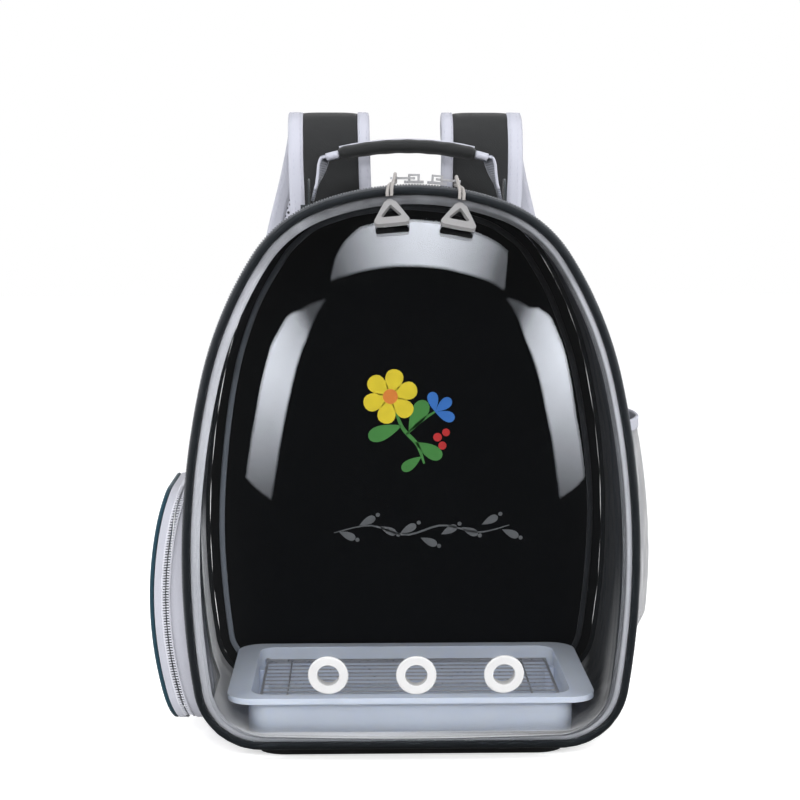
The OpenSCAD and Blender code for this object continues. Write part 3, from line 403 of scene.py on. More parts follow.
def lining_with_painted_shade():
    """Pale cloth along the front edge and low down on the left; further back and up, painted shade darkens
    it.
    """
    m = Mat("lining_cloth", "lining", (0.77, 0.77, 0.78), 0.6, Sheen_Weight=0.05)
    v = m.coords()
    x, y, z = m.xyz(v)
    wavy = m.noise(v, 0.022)
    uneven = m.f("SUBTRACT", wavy, 0.5)
    m.relief(m.f("MULTIPLY", m.wave(m.f("ADD", x, z), 0.8), m.wave(y, 0.8)), 0.04)
    m.relief(m.f("SINE", m.f("ADD", m.f("MULTIPLY", y, 0.16), m.f("MULTIPLY", wavy, 9.0))), 0.7)
    m.relief(wavy, 5.0)
    pale = m.tone(m.noise(v, 0.5), 0.9, 1.08)
    back = m.ramp(m.f("ADD", y, m.f("MULTIPLY", uneven, 26.0)), Y0 + 34, Y0 + 42)
    start = m.ramp(x, -60.0, 60.0, 140.0, 8.0)
    high = m.ramp(m.f("SUBTRACT", m.f("ADD", z, m.f("MULTIPLY", uneven, 70.0)), start), 0.0, 30.0)
    # painted shade: the dark colour behind the front edge, above a height that is lower on the right
    m.colour(m.mix(m.f("MULTIPLY", back, high), pale, (0.016, 0.019, 0.024, 1)))
    return m.done()

def webbing(name, rgb, pitch):
    """Ribbed webbing, with ribs across the UVs' length."""
    m = Mat(name, "webbing", rgb, 0.7, Sheen_Weight=0.3, Sheen_Roughness=0.4)
    v = m.coords(True)
    x, y, z = m.xyz(v)
    rib = m.f("ABSOLUTE", m.wave(y, 2 * pitch))
    fuzz = m.noise(v, 1.2)
    m.relief(rib, 0.35)
    m.relief(m.wave(x, 1.3), 0.06)
    m.relief(fuzz, 0.15)
    # the colour is darker in the grooves between the ribs, as painted shade, and varies at random with the
    # fuzz
    m.tone(m.f("ADD", m.f("MULTIPLY", rib, 0.6), m.f("MULTIPLY", fuzz, 0.4)), 0.5, 1.4)
    return m.done()

def tray_plastic():
    m = Mat("tray_milky", "tray_plastic", (0.515, 0.56, 0.665), 0.32, Subsurface_Weight=0.35,
            Subsurface_Radius=(0.01, 0.012, 0.018), Subsurface_Scale=0.6)
    v = m.coords()
    m.relief(m.noise(v, 1.5, 2.0), 0.015)
    m.tone(m.noise(v, 0.03), 0.93, 1.07)
    return m.done()

ROW = 0.866                          # between rows of holes, times their pitch
def open_mesh(name, slot, rgb, pitch, hole_r, behind=None):
    """A knitted net with holes in staggered rows over the UVs, open or with a colour behind them."""
    m = Mat(name, slot, rgb, 0.75, Sheen_Weight=0.3)
    v = m.coords(True)
    x, y, z = m.xyz(v)
    up = m.f("DIVIDE", y, pitch * ROW)
    shift = m.f("MULTIPLY", m.f("FLOORED_MODULO", m.f("FLOOR", up), 2.0), 0.5)
    fx = m.f("SUBTRACT", m.f("FRACT", m.f("ADD", m.f("DIVIDE", x, pitch), shift)), 0.5)
    fy = m.f("MULTIPLY", m.f("SUBTRACT", m.f("FRACT", up), 0.5), ROW)
    far = m.f("SQRT", m.f("ADD", m.f("MULTIPLY", fx, fx), m.f("MULTIPLY", fy, fy)))
    thread = m.ramp(far, hole_r - 0.05, hole_r + 0.05)
    fuzz = m.noise(v, 2.0, 2.0)
    m.relief(thread, 0.35)
    m.relief(fuzz, 0.12)
    if behind:
        m.colour(m.mix(thread, (*behind, 1), (*rgb, 1)))
    else:
        m.tone(fuzz, 0.9, 1.1)
        m.put(m.b.inputs["Alpha"], thread)
    return m.done()

m_clear = clear_sheet("clear_sheet", "clear_dome")
m_vent = plastic("vent_plastic", "vent_white", (0.47, 0.47, 0.475), 0.4)
m_pipe = cloth("piping_cloth", "piping_charcoal", (0.006, 0.008, 0.010), 0.8, uv=True, rough=0.6, sheen=0.04,
               Specular_IOR_Level=0.4)
m_pipe_teal = cloth("piping_teal", "piping_charcoal", (0.008, 0.040, 0.060), 0.8, uv=True, rough=0.65,
                    sheen=0.15)
# painted shade: the door's tape is darker high up, and on the right along its inner edge
m_tape = shade(cloth("zip_tape_cloth", "zip_grey", (0.57, 0.575, 0.61), 0.7, uv=True, twill=True, rough=0.8,
                     crease=0.1), 330.0, 420.0, 0.22, 2.2)
m_tape_cad = cloth("zip_tape_cloth_flat", "zip_grey", (0.40, 0.405, 0.455), 0.7, twill=True, rough=0.8,
                   crease=0.1)
m_tape_dark = cloth("zip_tape_dark", "zip_grey", (0.060, 0.064, 0.070), 0.7, uv=True, twill=True, rough=0.8,
                    crease=0.1, sheen=0.1)
m_teeth = plastic("zip_teeth_plastic", "zip_teeth", (0.47, 0.475, 0.52), 0.4)
m_teeth_dark = plastic("zip_teeth_dark", "zip_teeth", (0.13, 0.135, 0.145), 0.4)
m_slider = metal("slider_cast", "slider_metal", (0.52, 0.52, 0.54), 0.33, 0.6)
m_cord = cloth("cord_braid", "pull_cord", (0.27, 0.255, 0.245), 1.1, uv=True, twill=True, rough=0.8,
               depth=0.3)
m_rubber = plastic("pull_rubber_soft", "pull_rubber", (0.18, 0.177, 0.178), 0.55, 0.03)
m_wall = cloth("shell_weave", "shell_cloth", (0.022, 0.027, 0.030), 1.0, rough=0.75, depth=0.16, sheen=0.3)
m_lining = lining_with_painted_shade()
m_panel = cloth("panel_cloth", "panel_black", (0.0022, 0.0027, 0.0036), 0.8, rough=0.6, depth=0.05, sheen=0.0,
                crease=0.3, Specular_IOR_Level=0.15)
# painted shade: the back binding is darker high up, and on the right over its whole width
WIDER_THAN_BINDING = 30.0
m_bind = shade(cloth("bias_tape", "binding_grey", (0.17, 0.19, 0.22), 0.9, uv=True, rough=0.6, crease=0.5),
               230.0, 380.0, 0.22, WIDER_THAN_BINDING)
m_base = plastic("base_stiffener", "base_black", (0.012, 0.013, 0.014), 0.6, 0.05)
m_mat = cloth("floor_mat", "mat_grey", (0.66, 0.665, 0.69), 0.9, rough=0.75, crease=0.6, vary=0.08)
m_strap = cloth("strap_twill", "strap_cloth", (0.012, 0.0125, 0.0125), 1.5, uv=True, twill=True, rough=0.8,
                depth=0.2, sheen=0.12)
m_sbind = cloth("strap_edging", "strap_binding", (0.385, 0.392, 0.45), 0.8, uv=True, rough=0.75, depth=0.1,
                sheen=0.12, crease=0.4, vary=0.1)
m_thread = plastic("thread", "strap_binding", (0.33, 0.34, 0.41), 0.6)
m_thread_dark = plastic("thread_dark", "shell_cloth", (0.05, 0.055, 0.06), 0.6)
m_buckle = plastic("buckle_plastic", "buckle", (0.012, 0.012, 0.013), 0.38, 0.03)
m_web = webbing("webbing_black", (0.03, 0.032, 0.036), 1.6)
m_hweb = webbing("webbing_handle", (0.16, 0.17, 0.20), 1.9)
m_tray = tray_plastic()
m_wire = metal("wire_drawn", "wire_steel", (0.42, 0.42, 0.44), 0.35, 0.6)
m_net = open_mesh("pocket_net", "mesh_grey", (0.20, 0.206, 0.225), 2.2, 0.34)
m_smesh = open_mesh("strap_mesh", "strap_binding", (0.52, 0.525, 0.60), 4.2, 0.27, (0.02, 0.02, 0.025))
m_pmesh = open_mesh("pad_spacer_mesh", "pad_mesh", (0.045, 0.05, 0.055), 3.2, 0.3, (0.006, 0.006, 0.007))

# ---- the dome
DOME_EDGE, DOME_RIM_W, DOME_T, DOME_DEPTH, DOME_Z = -5.45, 3.0, 1.2, 95.0, 200.0
DOME_FRONT, DOME_BACK, DOME_RIM_FRONT = 0.45, 1.65, 0.35
VENTS_X, VENT_Z, VENT_HOLE_R, VENT_BEFORE = (-60.0, 0.0, 60.0), 93.0, 10.6, -70.0

def dome_power(x, z):
    """How square the dome's profile is towards a point of its rim."""
    s = (z - DOME_Z) / hypot(x, z - DOME_Z)
    return 3.2 - 0.4 * s * s if s > 0 else 3.2 + 4.8 * (-s) ** 2.5

def dome_ring(rim, share, front):
    """The rim drawn in to a share of its size, as far forward as the profile says."""
    return [P(x * share, front - DOME_DEPTH * (1 - share ** dome_power(x, z)), DOME_Z + (z - DOME_Z) * share)
            for x, z in rim]

def build_dome():
    edge = full_rim(DOME_EDGE)
    outer = full_rim(DOME_EDGE - DOME_RIM_W)
    inner = full_rim(DOME_EDGE - DOME_RIM_W - DOME_T)
    between = [((a[0] + b[0]) / 2, (a[1] + b[1]) / 2) for a, b in zip(edge, outer)]
    # close together at the rim, where the sheet bends
    shares = [1.0, 0.997, 0.992, 0.985, 0.976, 0.965, 0.952, 0.937] + [0.92 - 0.02 * k for k in range(22)]
    shares += [0.47, 0.44, 0.4, 0.36, 0.32, 0.28, 0.23, 0.18, 0.13, 0.07, 0.02]
    rows = [dome_ring(inner, s, DOME_BACK) for s in reversed(shares)]
    rows += [[P(x, s, z) for x, z in rim]
             for rim, s in ((edge, DOME_BACK), (edge, DOME_FRONT), (between, DOME_RIM_FRONT))]
    rows += [dome_ring(outer, s, DOME_FRONT) for s in shares]
    def in_vent(q):
        c = sum(q, Vector()) / len(q)
        near = any(hypot(c.x - x, c.z - VENT_Z) < VENT_HOLE_R for x in VENTS_X)
        return near and c.y - Y0 < VENT_BEFORE
    v, f, u = grid(rows, wrap=True, skip=in_vent)
    # a fan closes each skin at its pole
    n, last = len(outer), (len(rows) - 1) * len(outer)
    v += [P(0, DOME_BACK - DOME_DEPTH, DOME_Z), P(0, DOME_FRONT - DOME_DEPTH, DOME_Z)]
    for j in range(n):
        f += [[len(v) - 2, (j + 1) % n, j], [len(v) - 1, last + j, last + (j + 1) % n]]
        u += [[(0, 0)] * 3] * 2
    add_mesh("dome", (v, f, u), DOOR, m_clear, hides=["dome_shell"])
build_dome()

# ---- piping, tapes and chains round the outline
def rim_piece(name, profile, body, mat, hides, wave=None):
    return add_mesh(name, grid(rim_rows(profile, wave=wave), wrap=True, close=True), body, mat, hides=hides)

def piping_wave(u):
    return 0.10 * sin(u * 2 * pi * 61) + 0.08 * sin(u * 2 * pi * 149 + 1), 0.08 * sin(u * 2 * pi * 97)

for name, s0, body, hid in (("piping_front", 0.0, DOOR, "front_piping"),
                            ("piping_rear", 164.5, REAR, "rear_piping")):
    rim_piece(name, [(a - PIPE_R, s0 + b) for a, b in circle(PIPE_R, 14)], body, m_pipe, [hid], piping_wave)

# the door's tape: a pale strip inside the dome's rim, which bends out and back to the zip, dark from there on
TAPE_PROFILE = [(-12.2, 1.8), (-9.4, 1.78), (-5.5, 1.75), (-5.45, 2.8), (0.3, 2.8), (0.9, 3.0), (1.0, 4.0),
                (1.0, 8.2), (0.9, 8.35), (-0.1, 8.35), (-0.2, 8.2), (-0.2, 3.8), (-5.6, 3.7), (-12.2, 2.9)]
DARK_PART = range(3, 12)
door_tape = rim_piece("tape_door", TAPE_PROFILE, DOOR, m_tape, ["door_zip_tape"])
door_tape.data.materials.append(m_tape_dark.m)
for k, face in enumerate(door_tape.data.polygons):
    face.material_index = int(k % len(TAPE_PROFILE) in DARK_PART)
rim_piece("tape_rear", [(1.0, 14.75), (1.0, 20.2), (-0.15, 20.2), (-0.15, 14.65), (0.9, 14.65)], REAR,
          m_tape_dark, ["rear_zip_tape"])

ARCH_FROM_Z = 10.8
def arch_points(out, s, fine=6):
    """The outline without its flat bottom, from the lower left over the top to the lower right."""
    right = [p for p in half_rim(out, fine) if p[1] > ARCH_FROM_Z]
    return [P(-x, s, z) for x, z in reversed(right)] + [P(x, s, z) for x, z in right[1:]]

TOOTH_PITCH, TOOTH_REACH, TOOTH_W = 2.05, 2.95, 1.15
# along a tooth: the share of its reach, its underside and top, and its width
TOOTH_FORM = ((0, 0.1, 0.75, 0.8), (0.25, 0, 1.0, 1.0), (0.8, 0, 1.0, 1.0), (1.0, 0.15, 0.8, 0.75))
def teeth_run(path, normals, sides, height):
    """Moulded teeth along a path, which reach over the middle to the side given for each point."""
    at = distances(path)
    verts, faces = [], []
    k, pos = 0, TOOTH_PITCH / 2
    while pos < at[-1] - TOOTH_PITCH / 2:
        while at[k + 1] < pos:
            k += 1
        f = (pos - at[k]) / (at[k + 1] - at[k])
        p, n = path[k].lerp(path[k + 1], f), normals[k].lerp(normals[k + 1], f).normalized()
        t = (path[k + 1] - path[k]).normalized()
        base = len(verts)
        for w, lo, hi, g in TOOTH_FORM:
            c = p + sides[k] * (w * TOOTH_REACH)
            for a, b in ((-1, lo), (1, lo), (1, hi * 0.82), (0.55, hi), (-0.55, hi), (-1, hi * 0.82)):
                verts.append(c + t * (a * TOOTH_W / 2 * g) + n * (b * height))
        faces += tube(base, 4) + [list(range(base, base + 6))[::-1], list(range(base + 18, base + 24))]
        pos += TOOTH_PITCH
    return verts, faces, [[(0, 0)] * len(q) for q in faces]

def square_to(d):
    """The direction out of the outline, for one along it."""
    return Vector((-d.z, 0, d.x)).normalized()

def zip_chain(name, body, s_root, direction, hides):
    """Half of the main zip. The rear half starts one point further, so that the two mesh."""
    base = arch_points(-0.2, s_root)
    n = len(base)
    nor = [square_to(base[min(k + 1, n - 1)] - base[max(k - 1, 0)]) for k in range(n)]
    spine = [p + o * 0.75 for p, o in zip(arch_points(-0.2, s_root + direction * 0.6), nor)]
    if direction < 0:
        base, nor = base[1:], nor[1:]
    teeth = teeth_run(base, nor, [Y_AXIS * direction] * n, 2.35)
    form = merge(sweep(spine, circle(0.7, 8), Y_AXIS), teeth)
    add_mesh(name, form, body, m_teeth_dark, smooth=False, hides=hides)
zip_chain("chain_door", DOOR, 8.4, 1, ["door_zip_chain"])
zip_chain("chain_rear", REAR, 14.7, -1, ["rear_zip_chain"])

def rim_stitches(name, out, s, body):
    pts = [P(x, s, z) for x, z in full_rim(out)]
    n = len(pts)
    pts.append(pts[0])
    nor = [square_to(pts[(k + 1) % n] - pts[k - 1 if k else -2]) for k in range(n + 1)]
    add_mesh(name, stitch_run(pts, nor, 2.2, 1.3, 0.22), body, m_thread_dark)
rim_stitches("stitch_tape_door", 1.02, 3.9, DOOR)
rim_stitches("stitch_tape_rear", 1.02, 19.2, REAR)
rim_stitches("stitch_wall_front", 1.05, 22.4, REAR)
rim_stitches("stitch_wall_back", 1.05, 159.6, REAR)

def binding_wave(u):
    return 0.35 * sin(u * 2 * pi * 9) + 0.2 * sin(u * 2 * pi * 23 + 2), 0.0
rim_piece("binding_back", [(-17.4, 162.95), (-17.3, 162.1), (-16.6, 161.85), (-13.9, 161.85), (-13.1, 162.1),
                           (-12.9, 162.95)], REAR, m_bind, ["back_binding"], binding_wave)

# ---- CAD nodes that keep their form
def dress(mat, *names, bevel=0.0, segments=2):
    """Paints nodes, rounds their edges by bevel mm and smooths their shading."""
    for n in names:
        ob = NODES[n]
        paint(ob, mat)
        ob.data.shade_smooth()
        if bevel:
            ob.modifiers.new("weld", "WELD").merge_threshold = 0.00001
            b = ob.modifiers.new("bevel", "BEVEL")
            b.width, b.segments, b.limit_method = bevel * 0.001, segments, "ANGLE"
            b.angle_limit = radians(35)
            b.harden_normals = False
        ns = ob.modifiers.new("normals", "WEIGHTED_NORMAL")
        ns.keep_sharp = False
        ns.weight = 80
dress(m_vent, "vent_left", "vent_middle", "vent_right", bevel=0.5)
dress(m_wall, "side_wall", "hatch_panel", "strap_yoke", "corner_tab_left", "corner_tab_right", bevel=0.4)
dress(m_wall, "hinge_strip", "hatch_hinge", "handle_anchors", bevel=0.3)
dress(m_lining, "wall_lining", bevel=0.2)
dress(m_panel, "back_panel")
dress(m_base, "base_plate", bevel=1.2)
dress(m_mat, "floor_pad", bevel=0.7)
dress(m_tray, "tray", bevel=0.7)
dress(m_slider, "slider_left", "slider_right", "tab_left", "tab_right", "hatch_slider", bevel=0.35)
dress(m_rubber, "pull_left", "pull_right", bevel=0.9, segments=3)
dress(m_tape_cad, "hatch_frame_tape", "hatch_door_tape", bevel=0.3)
dress(m_buckle, "ladder_lock_left", "ladder_lock_right", bevel=0.6)
dress(m_wire, "tray_grid")
WIRE_THINNER = 0.00045               # m off each wire's radius
thin = NODES["tray_grid"].modifiers.new("thin", "DISPLACE")
thin.strength, thin.mid_level = -WIRE_THINNER, 0.0

# ---- the side hatch, bent over a drum
WALL_FRONT = 20.3
HATCH_Y, HATCH_Z, HATCH_H, HATCH_W, HATCH_R = WALL_FRONT + 4, 20.0, 179.0, 116.0, 26.0
HATCH_OUT = 196.0
DRUM_Z = HATCH_Z + HATCH_H / 2 + 6.5

def wall_x(z, out=1.0):
    """Half the width over the wall at a height."""
    i = 2 if z > CEN[3][1] + ARC[3] * heading(TURN[3])[1] else 3
    return CEN[i][0] + sqrt((ARC[i] + out) ** 2 - (z - CEN[i][1]) ** 2)

def drum_radius():
    """The drum's radius: the hatch falls off from its middle to 17 mm off the wall at its upper edge."""
    rise = HATCH_Z + HATCH_H - DRUM_Z
    drop = HATCH_OUT - wall_x(HATCH_Z + HATCH_H) - 17
    return (rise ** 2 + drop ** 2) / (2 * drop)
DRUM_R = drum_radius()
DRUM_X = DRUM_R - HATCH_OUT
SPLIT_R = DRUM_R - 12.4              # where the two halves of the zip meet

def drum(r, y, z):
    return P(DRUM_X - sqrt(r * r - (z - DRUM_Z) ** 2), y, z)

def hatch_edge(inset, n=7, step=6.0):
    """(s, z) points round the hatch's outline, n steps on each corner."""
    w, h, r = HATCH_W - 2 * inset, HATCH_H - 2 * inset, HATCH_R - inset
    pts = []
    for cx, cz, a0 in ((w - r, h - r, 0), (r, h - r, 90), (r, r, 180), (w - r, r, 270)):
        for k in range(n + 1):
            a = radians(a0 + 90 * k / n)
            pts.append((cx + r * cos(a), cz + r * sin(a)))
    out = []
    for a, b in zip(pts, pts[1:] + pts[:1]):
        m = max(1, int(hypot(b[0] - a[0], b[1] - a[1]) / step))
        out += [(a[0] + (b[0] - a[0]) * k / m, a[1] + (b[1] - a[1]) * k / m) for k in range(m)]
    return [(HATCH_Y + inset + y, HATCH_Z + inset + z) for y, z in out]

def hatch_chain(name, body, root, way, hides):
    """Half of the hatch's zip, which stops short of the hinge along the lower edge."""
    edge = hatch_edge(-0.3, 9, 2.5)
    start = next(i for i, p in enumerate(edge) if p[1] < HATCH_Z + 2)
    edge = edge[start:] + edge[:start]
    low = len([p for p in edge if p[1] < HATCH_Z + 1.0])
    keep = (edge[low - 1:] + edge[:1])[2:-2]
    base = [drum(root, y, z) for y, z in keep]
    middle = Vector((0, HATCH_Y + HATCH_W / 2 + Y0, HATCH_Z + HATCH_H / 2))
    nor = []
    for k, b in enumerate(base):
        o = (base[min(k + 1, len(base) - 1)] - base[max(k - 1, 0)]).cross(X_AXIS)
        c = b - middle
        c.x = 0
        nor.append((o if o.dot(c) > 0 else -o).normalized())
    side = [(b - drum(root - way, y, z)).normalized() for b, (y, z) in zip(base, keep)]
    core = sweep([b + n * 0.3 + s * 0.5 for b, n, s in zip(base, nor, side)], circle(0.75, 8), X_AXIS)
    add_mesh(name, merge(core, teeth_run(base, nor, side, 1.45)), body, m_teeth, smooth=False, hides=hides)

HATCH_PIPE_R = 1.6
hatch_rim = [drum(DRUM_R - HATCH_PIPE_R, y, z) for y, z in hatch_edge(HATCH_PIPE_R)]
add_mesh("hatch_piping_cord", sweep(hatch_rim, circle(HATCH_PIPE_R, 12), X_AXIS, closed=True), "side_hatch",
         m_pipe_teal, hides=["hatch_piping"])
hatch_chain("chain_hatch_door", "side_hatch", SPLIT_R + 3.3, -1, ["hatch_door_chain"])
hatch_chain("chain_hatch_frame", REAR, SPLIT_R - 3.3, 1, ["hatch_frame_chain"])

# ---- the mesh pocket
POCKET_Z, POCKET_Y, POCKET_H, POCKET_W, POCKET_OUT = 63.0, WALL_FRONT + 34, 176.0, 100.0, 23.0

def net_point(u, v, lift=0.0):
    """A point of the net, for u across and v up from 0 to 1."""
    z = POCKET_Z + POCKET_H * v
    full = max(0.0, sin(pi * u)) ** 0.55 * min(1, v / 0.16) ** 0.5 * (1 - 0.22 * max(0, v - 0.45) / 0.55)
    ripple = 0.3 * sin(u * 21 + v * 7) * min(1, 5 * v) * min(1, 6 * u, 6 * (1 - u))
    x = wall_x(z) + 0.1 + lift + max(0.02, (POCKET_OUT - 0.3) * full + ripple)
    return P(x, POCKET_Y + POCKET_W * u, z)

def eased(k, n):
    return 0.5 - 0.5 * cos(pi * k / n)

def build_pocket():
    rows = [[net_point(eased(j, 40), (i / 44) ** 1.5) for j in range(41)] for i in range(45)]
    ob = add_mesh("pocket_net", grid(rows), REAR, m_net, hides=["mesh_pocket"])
    hem_path = [net_point(0.012 + 0.976 * eased(k, 48), 1.0, 0.1) + Z_AXIS * 4.3 for k in range(49)]
    ribbed = mirrored([(-4.6, 0.9), (-3, 1.2), (0, 0.85), (3, 1.2), (4.6, 0.9)])
    hem = add_mesh("pocket_elastic", sweep(hem_path, ribbed, Z_AXIS), REAR, m_sbind,
                   hides=["pocket_hem"])
    flat, out = circle(3.0, 8, 0.2), X_AXIS * 0.5
    edging = [sweep([net_point(u, k / 30) + out for k in range(31)], flat, Y_AXIS) for u in (0.0, 1.0)]
    edging.append(sweep([net_point(k / 20, 0.0) + out for k in range(21)], flat, Z_AXIS))
    tape = add_mesh("pocket_edging", merge(*edging), REAR, m_sbind)
build_pocket()

# ---- the handle
HANDLE_S, HANDLE_SPAN, HANDLE_TOP, FOOT_R = 148.0, 152.0, 463.0, 10.0
GRIP_HALF, GRIP_W, GRIP_T = 54.0, 13.0, 5.5

def rounded(v, power):
    return copysign(abs(v) ** power, v)

def build_handle():
    foot_x = HANDLE_SPAN / 2
    foot_z = CEN[1][1] + sqrt((ARC[1] + 1) ** 2 - (foot_x - CEN[1][0]) ** 2) + FOOT_R + 2.4
    half, knee_z = foot_x - 9, foot_z + 26
    rise = HANDLE_TOP - GRIP_T - knee_z
    r = (half * half + rise * rise) / (2 * rise)
    mid = HANDLE_TOP - GRIP_T - r
    def arc(x, dr=0.0):
        a = asin(x / r)
        return P((r + dr) * sin(a), HANDLE_S, mid + (r + dr) * cos(a))
    for tag, s in SIDES:
        leg = [(half - 0.6, knee_z - 1.5), (half + 2.2, knee_z - 12), (foot_x - 3.4, foot_z + 4),
               (foot_x - 0.3, foot_z - 8)]
        path = spline([arc(s * x) for x in (48, 54, 60, 64)] + [P(s * x, HANDLE_S, z) for x, z in leg], 60)
        def taper(t):
            below = foot_z - path[round(t * 60)].z
            return sqrt(1 - min(0.8, max(0, below) / FOOT_R) ** 2), 1.0
        # the leg turns its face a little to the front, and back again at the foot
        twist = [0.34 * min(1, max(0, k - 18) / 10) * min(1, max(0, 50 - k) / 12) for k in range(61)]
        turn = [Vector((-s * t, 1, 0)).normalized() for t in twist]
        add_mesh("handle_strap_" + tag, sweep(path, lens(20, 2.6, 0.6), turn, swell=taper), "handle", m_hweb,
                 hides=["handle_webbing"])
        edged = slice(14, next(k for k, p in enumerate(path) if p.z < foot_z + 1))
        edges = [sweep([p + w * (e * 9.2) for p, w in zip(path[edged], turn[edged])], circle(1.3, 8, 0.95),
                       turn[edged]) for e in (-1, 1)]
        add_mesh("handle_edge_" + tag, merge(*edges), "handle", m_sbind)
        patch = sweep([arc(s * x) for x in (54.6, 56, 59, 62, 64.4)], lens(23.4, 6.2, 0.55), Y_AXIS)
        add_mesh("handle_patch_" + tag, patch, "handle", m_sbind, hides=["handle_patches"])
    def along(reach, dr=0.0):
        return [arc(reach * (k / 22 - 1), dr) for k in range(45)]
    def swell(t):
        e = min(1, 9 * min(t, 1 - t) + 0.72)
        return 0.94 + 0.06 * e, e * (1 + 0.03 * sin(t * 40))
    section = [(GRIP_W * rounded(x, 0.8), GRIP_T * rounded(y, 0.75)) for x, y in circle(1, 28)]
    sleeve = sweep(along(GRIP_HALF), section, Y_AXIS, swell=swell)
    grip = add_mesh("handle_grip_sleeve", sleeve, "handle", m_strap, hides=["handle_grip"])
    # a pale line of piping along the sleeve's top
    line = [p - Y_AXIS * 4.0 for p in along(GRIP_HALF - 1, 5.1)]
    add_mesh("handle_piping", sweep(line, circle(1.3, 8, 0.7), Y_AXIS), "handle", m_sbind)
build_handle()

# ---- straps, back cushions and lower webbing
BACK_S = 166.0
STRAP_T, STRAP_W, BIND_W, STRAP_GAP = 10.0, 67.0, 10.0, 116.0
STRAP_AT = [(2, 0, 388), (4, 1, 430), (5, 12, 468), (5.5, 36, 483), (7, 62, 467), (15, 78, 430),
            (29, 88, 375), (43, 92, 300), (53, 84, 230), (58, 66, 170), (60, 44, 122)]

def strap_line(side, n=110):
    """The strap's middle: over the shoulder and down, (further out, further back, height) at each point."""
    return spline([P(side * (STRAP_GAP / 2 + a), BACK_S + 3 + STRAP_T / 2 + b, c) for a, b, c in STRAP_AT], n)

def build_strap(tag, side):
    path = strap_line(side)
    core = STRAP_W - 2 * BIND_W
    xs = [k / 7 - 1 for k in range(15)]
    section = mirrored([(x * core / 2, STRAP_T * (0.34 + 0.1 * (1 - x ** 4))) for x in xs])
    def swell(t):
        return 1.0, 1 + 0.035 * sin(t * 55) + 0.02 * sin(t * 131)
    pad = add_mesh("strap_pad_" + tag, sweep(path, section, X_AXIS, swell=swell), REAR, m_strap,
                   hides=["strap_" + tag])
    # the face towards the wearer is mesh on the part that comes down
    pad.data.materials.append(m_smesh.m)
    m = len(section)
    for p in pad.data.polygons:
        inner = len(p.vertices) == 4 and sum(q % m < m // 2 for q in p.vertices) >= 3
        if inner and p.center.y > (Y0 + BACK_S + 48) * 0.001:
            p.material_index = 1
    fold = mirrored([(-1, 0.8), (-0.85, 1), (-0.3, 1.02), (0.3, 1.0), (0.85, 0.95), (1, 0.55)])
    edging, stitches = [], []
    fr = frames(path, X_AXIS)
    for e in (-1, 1):
        wide = BIND_W + 3 if e == side else BIND_W
        at = e * (STRAP_W - wide) / 2
        tape = [(at + a * wide / 2, b * (4.35 if abs(a) < 0.9 else 3.2)) for a, b in fold]
        edging.append(sweep(path, tape, X_AXIS, swell=lambda t: (1.0, 1 + 0.04 * sin(t * 90 + e))))
        for out in (1, -1):
            for shift, lift, r in ((-e * 3.4, 4.4, 0.28), (e * 2.2, 4.3, 0.25)):
                q = [p + w * (at + shift) + o * out * lift for p, (w, o, t) in zip(path, fr)]
                stitches.append(stitch_run(q, [o * out for w, o, t in fr], 2.4, 3.2, r))
    add_mesh("strap_binding_" + tag, merge(*edging), REAR, m_sbind, hides=["bindings_" + tag])
    add_mesh("strap_stitches_" + tag, merge(*stitches), REAR, m_thread)

PAD_W, PAD_H, PAD_Z, PAD_T, PAD_R = 92.0, 236.0, 96.0, 12.0, 14.0
CHANNELS = ((0.5, 0.018, 0.55), (0.25, 0.012, 0.25), (0.75, 0.012, 0.25))
def build_pad(tag, side):
    cols, rows = 46, 118
    def crown(u, v):
        """The cushion's thickness: less at its edges and along the stitched channels."""
        e, f = min(1, 7 * min(u, 1 - u)), min(1, 16 * min(v, 1 - v))
        full = 1 - sum(deep * exp(-((v - at) / wide) ** 2) for at, wide, deep in CHANNELS)
        full *= sqrt(e * (2 - e)) * sqrt(f * (2 - f)) * (0.82 + 0.18 * sin(pi * u))
        return PAD_T * (0.3 + 0.7 * full)
    def point(u, v, k=1.0):
        reach, past = PAD_W / 2, abs(v - 0.5) * PAD_H - (PAD_H / 2 - PAD_R)
        if past > 0:
            reach += sqrt(max(0.0, PAD_R ** 2 - min(PAD_R, past) ** 2)) - PAD_R
        x = side * (PAD_W / 2 + 9) + (2 * u - 1) * reach
        return P(x, BACK_S + 0.05 + crown(u, v) * k, PAD_Z + PAD_H * v)
    face = grid([[point(j / cols, i / rows) for j in range(cols + 1)] for i in range(rows + 1)])
    border = [(j / cols, 0) for j in range(cols)] + [(1, i / rows) for i in range(rows)]
    border += [(1 - u, 1 - v) for u, v in border]
    skirt = grid([[point(u, v, k) for u, v in border] for k in (1.0, 0.0)], wrap=True)
    pad = add_mesh("back_cushion_" + tag, merge(face, skirt), REAR, m_pmesh,
                   hides=["back_pad_" + tag])
    edge = [point(u, v) - Y_AXIS * 0.4 for u, v in border]
    add_mesh("cushion_piping_" + tag, sweep(edge, circle(1.9, 10), Y_AXIS, closed=True), REAR, m_pipe)

